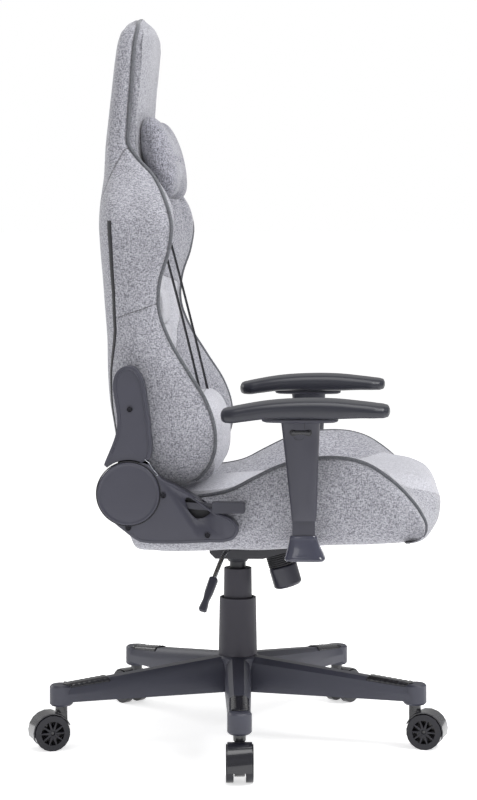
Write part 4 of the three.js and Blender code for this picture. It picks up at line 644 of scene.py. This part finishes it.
def cut_through(piece, outline, reach, side):
    """A window cut through a cover, with the walls of the moulding showing."""
    bm = bmesh.new()
    drawn_out(bm, outline, *reach, side)
    bmesh.ops.recalc_face_normals(bm, faces=bm.faces)
    cutter = made("cutter", bm)
    window = piece.modifiers.new("window", "BOOLEAN")
    window.operation = "DIFFERENCE"
    window.object = cutter
    window.solver = "EXACT"
    bpy.context.view_layer.update()
    cut = bpy.data.meshes.new_from_object(piece.evaluated_get(bpy.context.evaluated_depsgraph_get()))
    piece.modifiers.clear()
    piece.data = cut
    bpy.data.objects.remove(cutter)


def screw_head(name, place, radius, body, side):
    """A black countersunk screw head with a cross recess, facing outwards along y."""
    profile = [(0.0, 0.0), (radius * 0.55, -0.1), (radius * 0.9, -0.5), (radius, -1.2), (radius, -2.4)]
    bm = spun([(reach * MM, depth * MM, 0) for reach, depth in profile], (0, 0, 0), (0, 1, 0), 24)
    bmesh.ops.remove_doubles(bm, verts=bm.verts, dist=1e-6)
    slot_faces = [face for face in bm.faces if face.calc_center_median().y > -0.3 * MM
                  and min(abs(face.calc_center_median().x), abs(face.calc_center_median().z)) < 0.14 * radius * MM]
    bmesh.ops.inset_region(bm, faces=slot_faces, thickness=0.1 * MM, depth=-0.8 * MM)
    bmesh.ops.scale(bm, verts=bm.verts, vec=(1, -side, 1))
    bmesh.ops.translate(bm, verts=bm.verts, vec=Vector(place) * MM)
    bmesh.ops.recalc_face_normals(bm, faces=bm.faces)
    return made(name, bm, black_steel, body, "black_steel")


lobe = [(-184, 404), (-170, 393), (-157, 383), (-145, 376), (-128, 373.5), (-111, 373), (-74, 373.5), (-36, 375.5),
        (-6, 376.5), (8, 381), (15, 390), (15.6, 400), (11, 408), (0, 416.5), (-15, 422.5), (-30, 432), (-48, 445),
        (-64, 455), (-81, 464.5), (-95, 471), (-106, 476), (-117, 484), (-126, 496), (-135, 503), (-150, 503.5),
        (-176, 502), (-200, 480), (-208, 450), (-202, 424)]
upper = [(-203, 500), (-196.5, 517), (-189.5, 534), (-185, 547), (-182, 562), (-182, 580), (-185, 600), (-188, 618),
         (-188.5, 634), (-186, 645), (-180.5, 654), (-172, 659.5), (-163, 661), (-154, 658.5), (-146, 650),
         (-140.5, 640), (-137, 628), (-134.5, 610), (-131, 586), (-128, 560), (-126, 540), (-125.5, 524), (-128, 512)]
window = [(-70, 447), (-58, 448.5), (-42, 441), (-31, 434), (-30, 424), (-38, 417), (-52, 414.5), (-62, 423),
          (-69, 436)]
plate_edge = [(-136, 509), (-129, 503), (-122.5, 493), (-116, 483.5), (-116.6, 483.5), (-123.5, 493), (-130, 502.4)]
# The profile of a dark ring round the disc, painted shade for the gap between disc and cover.
shade_ring_profile = [(51.3, 288.9), (52.6, 289), (53.0, 288.6), (53.0, 285), (51.3, 285)]
dish = [(0, 292.6), (30, 292.4), (44, 292.2), (46.6, 291.8), (47.6, 292.8), (49.2, 293), (50.4, 292.4), (51, 290.8),
        (51, 280)]
pivot_x, pivot_z = -163, 454
lower_outline = smooth_outline(lobe, 150)
arc = [(pivot_x + 54.6 * math.cos(angle), pivot_z + 54.6 * math.sin(angle))
       for angle in np.radians(np.linspace(58, 130, 12))]
upper_outline = np.concatenate([smooth_outline(upper, 110)[:104], arc])
cover_wall, cover_foot, lower_face, upper_face = 2.5, 257.2, 288, 285


def round_the_pivot(profile, side, closed):
    """A profile of reach and depth in mm, spun round the recliner's pivot."""
    places = [((pivot_x + reach) * MM, side * depth * MM, pivot_z * MM) for reach, depth in profile]
    return spun(places, (pivot_x * MM, 0, pivot_z * MM), (0, 1, 0), 96, closed)


sides = (("right", -1), ("left", 1))
for side_name, side in sides:
    lower = shell(f"lower_recliner_cover_{side_name}", lower_outline, lower_face, cover_foot, cover_wall, 2.6, satin,
                  "seat", "black_plastic", side)
    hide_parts(f"lower_cover_{side_name}")
    if side_name == "right":
        cut_through(lower, smooth_outline(window, 40), (300, 262), side)
    rib_along(f"lower_cover_rim_{side_name}", drawn_in(lower_outline, 4.0)[8:92], 287.4, 1.5, "seat", side, satin)
    # A dark rubber ring fills the gap round the disc: painted shade where the gap lies in shadow.
    bm = round_the_pivot(shade_ring_profile, side, True)
    bmesh.ops.recalc_face_normals(bm, faces=bm.faces)
    made(f"disc_shade_ring_{side_name}", bm, rubber, "seat", "rubber")
    bm = round_the_pivot(dish, side, False)
    bmesh.ops.remove_doubles(bm, verts=bm.verts, dist=1e-6)
    bmesh.ops.recalc_face_normals(bm, faces=bm.faces)
    made(f"recliner_disc_{side_name}", bm, satin, "seat", "black_plastic")
    rib_along(f"recliner_plate_edge_{side_name}", smooth_outline(plate_edge, 40)[:24], 286.4, 0.6, "seat", side, zinc)
    top = shell(f"upper_recliner_cover_{side_name}", upper_outline, upper_face, cover_foot, cover_wall, 3.6, satin,
                "back", "black_plastic", side)
    rib_along(f"upper_cover_rim_{side_name}", drawn_in(upper_outline, 5.2)[6:98], 284.9, 1.2, "back", side, satin)
    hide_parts(f"upper_cover_{side_name}")
    for number, (x, z) in enumerate([(-106, 452), (-163, 399), (-34, 388)]):
        screw_head(f"lower_cover_screw_{side_name}_{number + 1}", (x, side * 289.0, z), 4.6, "seat", side)
    screw_head(f"upper_cover_screw_{side_name}", (-161, side * 286.0, 591), 4.4, "back", side)


# Armrests: a satin moulded sleeve that slides on a steel post, a gloss skirt over the post's bend, a push button,
# and a pad of self-skinned polyurethane foam with rounded ends, screwed to the sleeve's plate.
foam_skin = moulded("self_skinned_polyurethane", "20212b", 0.36, 1.5, 0.06)
gloss_skirt = moulded("polished_abs_skirt", "383947", 0.18, 6, 0.01, Coat_Weight=0.4, Coat_Roughness=0.08)
sleeve_plastic = moulded("fine_grained_abs", "363641", 0.42, 1.3, 0.04)


def column(name, levels, material, body, slot, side, count=60):
    """A moulding from oval levels: height, x from and to, y from and to outwards, and how square the oval is."""
    levels = np.array(levels, float)
    heights = np.linspace(levels[0, 0], levels[-1, 0], count)
    table = through(levels[:, 0], levels[:, 1:], heights)
    angle = np.linspace(0, math.tau, 81)
    u, v = np.cos(angle)[None], np.sin(angle)[None]
    power = 2 / table[:, 4:5]
    places = np.zeros((count, 81, 3))
    places[:, :, 0] = (table[:, :1] + table[:, 1:2]) / 2 + (
        (table[:, 1:2] - table[:, :1]) / 2 * np.sign(u) * np.abs(u) ** power)
    places[:, :, 1] = side * ((table[:, 2:3] + table[:, 3:4]) / 2 + (
        (table[:, 3:4] - table[:, 2:3]) / 2 * np.sign(v) * np.abs(v) ** power))
    places[:, :, 2] = heights[:, None]
    piece = skin(name, places, material, body, slot)
    eased(piece, 0.9, segments=3, angle=50)
    return piece


def lozenge(name, middle, halves, material, body, slot):
    """A round-ended push button or well, longest along x."""
    along = np.sin(np.linspace(-math.pi / 2, math.pi / 2, 25))
    past = np.maximum((np.abs(along) * halves[0] - halves[0] + halves[2]) / halves[2], 0)
    radius = np.maximum(1 - past ** 2, 0) ** 0.5
    angle = np.linspace(0, math.tau, 33)
    places = np.zeros((25, 33, 3))
    places[:, :, 0] = middle[0] + (along * halves[0])[:, None]
    places[:, :, 1] = middle[1] + radius[:, None] * halves[1] * np.cos(angle)[None]
    places[:, :, 2] = middle[2] + radius[:, None] * halves[2] * np.sin(angle)[None]
    return skin(name, places, material, body, slot)


sleeve_levels = [
    [415, 103, 142.2, 296.2, 317.6, 3.6], [422, 102.4, 142.8, 295.8, 318.8, 2.9],
    [470, 97.4, 144.6, 294.4, 321.8, 2.2], [520, 92, 146.4, 292.8, 323.2, 2.2],
    [560, 87.4, 148.2, 291.2, 323.4, 2.3], [573.4, 85.8, 148.8, 291, 323.4, 2.8],
]
plate_levels = [[573.5, 60, 173, 285, 329, 4], [575, 56.4, 176.6, 282, 332, 5], [579.4, 55.2, 177.8, 281.2, 332.8, 6]]
skirt_levels = [
    [350, 93, 155, 264, 321, 5], [351.5, 91.4, 156.6, 262.6, 322.6, 5], [358, 92.6, 155.4, 264, 322, 4.4],
    [372, 96.6, 148.6, 280, 319.6, 3.6], [384, 99.4, 144.6, 290.6, 318, 3.4],
    [389, 100.4, 143.6, 293.4, 317.4, 3.4], [391, 101.6, 142.4, 294.4, 316.6, 3.4],
]
sleeve_marks = {"arc": [(107, 550), (109, 546.6), (115, 545.6), (121, 546.6), (123, 550)],
                "seam": [(124, 573), (124, 570), (124, 566), (124, 563.4)]}
for side_name, side in sides:
    body = f"armrest_{side_name}"
    sleeve = column(f"armrest_column_{side_name}", sleeve_levels, sleeve_plastic, body, "black_plastic", side)
    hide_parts(f"armrest_sleeve_{side_name}")
    column(f"armrest_plate_{side_name}", plate_levels, sleeve_plastic, body, "black_plastic", side, count=14)
    # A dark rubber lozenge round the button stands in for the shade in its recess: painted shade.
    lozenge(f"button_recess_shade_{side_name}", (118, side * 321.4, 557.6), (18, 2.2, 6.2), rubber, body, "black_plastic")
    button = lozenge(f"height_button_{side_name}", (118, side * 321.8, 558), (15.5, 3.2, 4), gloss_abs,
                     f"button_{side_name}", "black_plastic")
    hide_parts(f"armrest_button_{side_name}")
    for mark, line in sleeve_marks.items():
        rib_along(f"sleeve_{mark}_{side_name}", line, 323, 0.5, body, side, rubber)
    skirt = column(f"armrest_shroud_{side_name}", skirt_levels, gloss_skirt, "seat", "gloss_black", side)
    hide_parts(f"armrest_skirt_{side_name}")

pad_slices = np.array([
    [0, .22, .36, .3], [.006, .12, .46, .55], [.02, .05, .525, .74], [.05, .02, .575, .88], [.14, .08, .70, .96],
    [.25, .18, .825, 1], [.5, .21, .945, 1], [.69, .21, .925, 1], [.83, .24, .83, .98], [.93, .24, .75, .9],
    [.975, .26, .705, .76], [.994, .33, .64, .56], [1, .42, .55, .3],
])
pad_section = np.array([
    [0, 0], [.5, 0], [.86, .02], [1, .3], [1, .6], [.88, .88], [.5, .985], [0, 1],
    [-.5, .985], [-.88, .88], [-1, .6], [-1, .3], [-.86, .02], [-.5, 0],
])
pad_rear, pad_length, pad_middle, pad_half = -11, 272, 307, 49
pad_underside, pad_height, channel_top = 573.4, 40, 580.2
lengths = np.linalg.norm(np.diff(np.vstack([pad_section, pad_section[:1]]), axis=0), axis=1)
steps = np.concatenate([[0], np.cumsum(lengths)])
wrapped = np.concatenate([pad_section[-3:], pad_section, pad_section[:3]])
knots = np.concatenate([steps[-4:-1] - steps[-1], steps[:-1], steps[:3] + steps[-1]])
section = through(knots, wrapped, np.linspace(0, steps[-1], 57))
ends = 0.5 - 0.5 * np.cos(np.linspace(0, math.pi, 61))
slices = through(pad_slices[:, 0], pad_slices[:, 1:], ends)
for side_name, side in sides:
    places = np.zeros((len(ends), len(section), 3))
    places[:, :, 0] = (pad_rear + pad_length * ends)[:, None]
    places[:, :, 1] = side * pad_middle - section[None, :, 0] * slices[:, 2:] * pad_half
    rise = slices[:, :1] + section[None, :, 1] * (slices[:, 1:2] - slices[:, :1])
    places[:, :, 2] = pad_underside + pad_height * rise
    channel = (np.abs(section) < 0.6)[None, :, 0] & (places[:, :, 0] > 23) & (places[:, :, 0] < 210)
    places[:, :, 2] = np.where(channel, np.maximum(places[:, :, 2], channel_top), places[:, :, 2])
    pad = skin(f"armrest_foam_{side_name}", places, foam_skin, f"pad_{side_name}", "pad_skin")
    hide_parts(f"armrest_pad_{side_name}")


# Back: a foam shell moulded round a steel frame, with high side wings and a narrow head. The cover is sewn from
# heathered cloth, with a light quilted panel, thick piping along the wings and a black zip strip behind.
dress(painted_steel, 1.5, "back_frame")
back_slices = np.array([
    [0, .36, .61, .435, .83, .43], [.016, .235, .79, .485, .90, .48], [.038, .19, .895, .55, .945, .51],
    [.07, .16, .965, .585, .975, .525], [.113, .14, .985, .585, 1, .525], [.183, .095, .91, .535, .995, .52],
    [.246, .08, .755, .485, .98, .50], [.309, .08, .605, .435, .955, .485], [.372, .06, .515, .395, .935, .48],
    [.435, .04, .525, .37, .955, .49], [.498, .015, .60, .36, .98, .50], [.555, 0, .62, .36, .98, .50],
    [.593, 0, .575, .36, .91, .485], [.624, .005, .515, .36, .805, .47], [.656, .01, .43, .355, .695, .46],
    [.687, .01, .31, .33, .63, .50], [.719, .015, .22, .315, .60, .52], [.763, .035, .215, .315, .595, .525],
    [.839, .07, .235, .335, .59, .525], [.914, .102, .255, .362, .59, .525], [.953, .125, .27, .372, .575, .51],
    [.982, .162, .285, .36, .53, .46], [.995, .20, .285, .325, .47, .40], [1, .24, .28, .28, .41, .33],
])
back_turns = [0, .135, .194, .221, .253, .285, .296, .312, .346, .391, .402, .5]
back_piping_turns, back_panel_turns = (0.296, 0.704), (0.396, 0.604)
back_depth, back_rear, back_half, back_low, back_tall = 200, -222, 255, 455, 793


def back_shape(rows, turns):
    """Back rings at the given shares of the height, in mm, before the foam swells."""
    table = through(back_slices[:, 0], back_slices[:, 1:], rows)
    forward = 0.04 * np.exp(-((rows - 0.405) / 0.1) ** 2)
    rear, ridge = table[:, 0] * back_depth + back_rear, table[:, 1] * back_depth + back_rear
    panel = (table[:, 2] + forward) * back_depth + back_rear
    half, panel_half = table[:, 3] * back_half, table[:, 4] * back_half
    head = steps_between(rows, low=0.64, high=0.72)
    deep, crest, high = ridge - rear, half - 12 + 6 * head, back_low + back_tall * rows
    arch = 13 * np.clip((rows - 0.9) / 0.1, 0, 1) ** 2
    foot = 23 * np.exp(-((high - 470) / 30) ** 2)
    halfway = 0.4 + 0.18 * head
    ring = [
        (rear, 0 * half), (rear, 0.6 * half), (rear + 0.05 * deep, 0.86 * half), (rear + 0.2 * deep, 0.97 * half),
        (rear + 0.55 * deep, half), (ridge - 0.1 * deep, 0.99 * half), (ridge, crest),
        (ridge - 3 + 10 * np.exp(-((high - 925) / 50) ** 2) + 5 * head + foot, crest - 16 + 16 * head),
        ((1 - halfway) * ridge + halfway * panel + 4 - 2 * head, (crest + panel_half) / 2 + 4 + 1.5 * head),
        (panel + 0.08 * (ridge - panel) - 4 + 2 * head, panel_half + 3 * head),
        (panel, panel_half - 12), (panel + 4, 0 * half),
    ]
    ring = np.stack([np.stack([
        x, -y, high - arch * np.minimum(1.2, (y / 102) ** 2) - 0.4 * arch * np.clip((x - ridge) / 12, 0, 1),
    ], axis=1) for x, y in ring], axis=1)
    return round_rings(ring, back_turns, turns)


def back_sewn(rows, turns):
    """Held at the piping, at the panel's seams and at both ends, and a little over the frame behind."""
    over_frame = 0.25 * (np.minimum(turns, 1 - turns) < 0.15)[None]
    return np.maximum(held(rows, turns, back_piping_turns + back_panel_turns), over_frame)


rows = np.linspace(0, 1, 300)
turns = seamed_turns(280, back_piping_turns + back_panel_turns)
places = padded_skin(back_shape, rows, turns, back_sewn, 6)
x, y, z = places.transpose(2, 0, 1)
front = steps_between(np.minimum(turns, 1 - turns), low=0.392, high=0.41)[None] + 0 * x
channels = np.array([480, 540, 600, 660, 717, 781, 850])
cell = np.clip(np.searchsorted(channels, z) - 1, 0, len(channels) - 2)
middle, tall = (channels[cell] + channels[cell + 1]) / 2, (channels[cell + 1] - channels[cell]) / 2
corner, cell_half, puff_height = 20, 106, 6.5
beyond_y, beyond_z = np.abs(y) - (cell_half - corner), np.abs(z - middle) - (tall - corner)
inside = corner - np.hypot(np.maximum(beyond_y, 0), np.maximum(beyond_z, 0)) - np.minimum(
    np.maximum(beyond_y, beyond_z), 0)
quilted = front * (z > 482) * (z < 781)
puff = np.where(inside > 0, puff_height * (1 - np.exp(-np.maximum(inside, 0) / 7)), 0)
puff = puff - 2.5 * np.exp(-(inside / 2.5) ** 2)
places = places + outward(places) * (puff * quilted)[:, :, None]

# The light panel's half width from its foot up to its rounded top, at panel_top. Distances to seams are in mm, and
# far stands for no seam near.
panel_top, top_half, far = 853, 66, 99
half_width = through([455, 640, 700, 740, 768, 788, 800, 812, 830, 845, panel_top],
                     [130, 135, 160, 195, 205, 185, 130, 100, 92, top_half, 0], z.ravel()).reshape(z.shape)
above = -np.hypot(np.maximum(np.abs(y) - top_half, 0), z - 850)
light = np.where(z > panel_top, above, half_width - np.abs(y))
slope = np.gradient(half_width, axis=0) / np.maximum(np.gradient(z, axis=0), 0.1)
light = light / np.hypot(1, np.clip(slope, -6, 6))
girth = np.linalg.norm(np.diff(places, axis=1), axis=2).sum(axis=1)[:, None]
right, left = back_piping_turns
crest_gap = np.minimum(np.abs(turns - right), np.abs(turns - left))[None] * girth
facing = (turns > right) & (turns < left)
light = np.where(facing[None], np.minimum(light, crest_gap), -9)
from_middle = np.minimum(turns, 1 - turns)
side_seam = np.where((facing | (from_middle < 0.213))[None], far, np.abs(z - (738 + 0.344 * (x + 187))))
short = 1 - np.clip((from_middle - 0.19) / 0.106, 0, 1)
neck_line, neck_slope = 1020 - 86 * short ** 2, 2.1 * short * (short < 1)
neck_seam = np.where(facing[None], far, np.abs(z - neck_line[None]) / np.hypot(1, neck_slope))
# These seam distances darken the cover as painted shade along the piping, the light panel's edge, the side and neck
# seams and the quilting's channels.
seam = np.minimum(np.minimum(crest_gap, np.abs(light) + 20 * ~facing[None]), np.minimum(side_seam, neck_seam))
quilt_seam = np.where(quilted > 0.5, np.abs(inside), far)
pale_piping = woven("pale_piping_cloth", "76787f", "9c9ea6")
back_cloth = woven("heathered_polyester_back", "66666e", "b4b4bc", ("a2a2aa", "cbcbd2"))
back = skin("back_cover", places, back_cloth, "back", "grey_fabric",
            {"light": light, "seam": np.minimum(seam, quilt_seam)})
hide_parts("back_cushion")
out = outward(places)
proud = 1.4 + 1.8 * steps_between(rows[6::2], low=0.66, high=0.75)
right, left = [places[6::2, column] + out[6::2, column] * proud[:, None]
               for column in (int(np.argmin(np.abs(turns - turn))) for turn in back_piping_turns)]
over_head = [(-166, y, 1247.5 - 13 * (y / 102) ** 2) for y in (-84, -56, -28, 0, 28, 56, 84)]
piping("back_piping", np.concatenate([right, over_head, left[::-1]]), 3.0, pale_piping, "back")


def at_turn(row, turn):
    """A place and the way outwards on the back's cover, between its columns."""
    return [np.array([np.interp(turn, turns, grid[row, :, i]) for i in range(3)]) for grid in (places, out)]


webbing, tree, shader = new_material("woven_polyester_webbing", Roughness=0.85, Sheen_Weight=0.15)
ribs = weave(tree, 2.2)
tone = add_node(tree, "Mix", {0: ribs, 6: "1f1f23", 7: "34343a"}, data_type="RGBA")
tree.links.new(tone.outputs[2], shader.inputs["Base Color"])
bump = add_node(tree, "Bump", {"Height": ribs, "Distance": 0.3 * MM})
tree.links.new(bump.outputs["Normal"], shader.inputs["Normal"])

heights = rows * back_tall + back_low
zip_foot, zip_top = 520, 900
for side_name, mirror in (("right", False), ("left", True)):
    strip = []
    for row in np.flatnonzero((heights > zip_foot) & (heights < zip_top)):
        high = back_low + back_tall * rows[row]
        turn = np.interp(high, [520, 594, 647, 715, 780, 899], [.18, .188, .1945, .212, .218, .218])
        width = np.interp(high, [520, 700, 899], [8, 9, 10.5])
        edge = []
        for share in (-0.5, -0.25, 0, 0.25, 0.5):
            spot = turn + share * width / girth[row, 0]
            place, way = at_turn(row, 1 - spot if mirror else spot)
            edge.append(place + way * (1.0 if abs(share) < 0.5 else 0.1))
        strip.append(edge)
    zip_strip = skin(f"zip_strip_{side_name}", np.array(strip), webbing, "back", "webbing", closed=False)
    zip_strip.modifiers.new("depth", "SOLIDIFY").thickness = 1.0 * MM


# Pillows: loose fibre in sewn covers. The head pillow is dark heather and bone shaped, and the lumbar pillow is
# light and hangs from two webbing straps. Their creases come from the simulation.
backrest = surface_of(back)
clearance = 1.5


def pillow(name, middle, halves, slices, lean, hang, material, slot, cap, replaced):
    """A stuffed cover from slices along y: place, height and depth shares, swollen and laid on the back. It leans
    with the back, and its filling hangs towards its lower edge."""
    slices = np.array(slices)

    def shape(rows, turns):
        table = through(slices[:, 0], slices[:, 1:], rows)
        angle = turns * math.tau
        u, v = np.cos(angle), np.sin(angle)
        deep = np.sign(u) * np.abs(u) ** 0.85 * halves[2] * (1 - hang * v)
        high = np.sign(v) * np.abs(v) ** 0.75 * halves[1]
        grid = np.zeros((len(rows), len(turns), 3))
        grid[:, :, 2] = middle[2] + high[None] * table[:, :1]
        grid[:, :, 0] = middle[0] + deep[None] * table[:, 1:2] - lean * (grid[:, :, 2] - middle[2])
        grid[:, :, 1] = (middle[1] + rows * halves[0])[:, None]
        return grid

    def sewn(rows, turns):
        hold = np.zeros((len(rows), len(turns)))
        hold[:2] = hold[-2:] = 1
        return hold

    rows, turns = np.sin(np.linspace(-math.pi / 2, math.pi / 2, 121)), np.linspace(0, 1, 121)
    places = padded_skin(shape, rows, turns, sewn, cap, stiffness=6.0)
    for place in places.reshape(-1, 3):
        hit = backrest.ray_cast(Vector((0.4, place[1] * MM, place[2] * MM)), Vector((-1, 0, 0)))[0]
        if hit:
            place[0] = max(place[0], hit.x / MM + clearance)
    end_gap = (1 - np.abs(rows)) * halves[0]
    edge = np.minimum(np.abs(turns - 0.25), np.abs(turns - 0.75)) * 2 * (halves[1] + halves[2]) * 1.7
    # The seams round both ends and along both edges get painted shade in the cloth.
    seam = np.minimum(end_gap[:, None] + 2, edge[None] + 0.6)
    piece = skin(name, places, material, "back", slot, {"light": 0 * seam, "seam": seam})
    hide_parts(replaced)


head_slices = [[-1, .35, .2], [-.95, .72, .6], [-.82, .95, .9], [-.62, 1, 1], [-.3, .88, .98], [0, .82, .94],
               [.3, .88, .98], [.62, 1, 1], [.82, .95, .9], [.95, .72, .6], [1, .35, .2]]
lumbar_slices = [[-1, .55, .25], [-.95, .85, .55], [-.8, .98, .82], [-.5, 1, .96], [0, .97, 1], [.5, 1, .96],
                 [.8, .98, .82], [.95, .85, .55], [1, .55, .25]]
dark_heather = woven("dark_heathered_polyester", "4c4c56", "a6a6b0")
light_heather = woven("light_heathered_polyester", "a4a4ac", "d0d0d7")
pillow("head_pillow_cover", (-131, 0, 1006), (143, 69, 28), head_slices, 0.2, 0.12, dark_heather, "grey_fabric", 7,
       "head_pillow")
pillow("lumbar_pillow_cover", (-62, 0, 529), (142, 68, 46), lumbar_slices, 0.0, 0.1, light_heather, "light_fabric", 8,
       "lumbar_pillow")

strap_half, strap_turn = 10, math.radians(11)
for side_name, side in sides:
    upper_end, lower_end = np.array([-151, side * 95, 957]), np.array([-50, side * 95, 562])
    across = np.array([math.sin(strap_turn) * side, -math.cos(strap_turn) * side, 0])
    band = []
    for share in np.linspace(0, 1, 60):
        centre = upper_end * (1 - share) + lower_end * share
        centre[0] += 2.5 * math.sin(share * math.pi)
        band.append([centre + across * offset for offset in np.linspace(-strap_half, strap_half, 9)])
    strap = skin(f"lumbar_webbing_{side_name}", np.array(band), webbing, "back", "webbing", closed=False)
    strap.modifiers.new("depth", "SOLIDIFY").thickness = 2.2 * MM
    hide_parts(f"lumbar_strap_{side_name}")
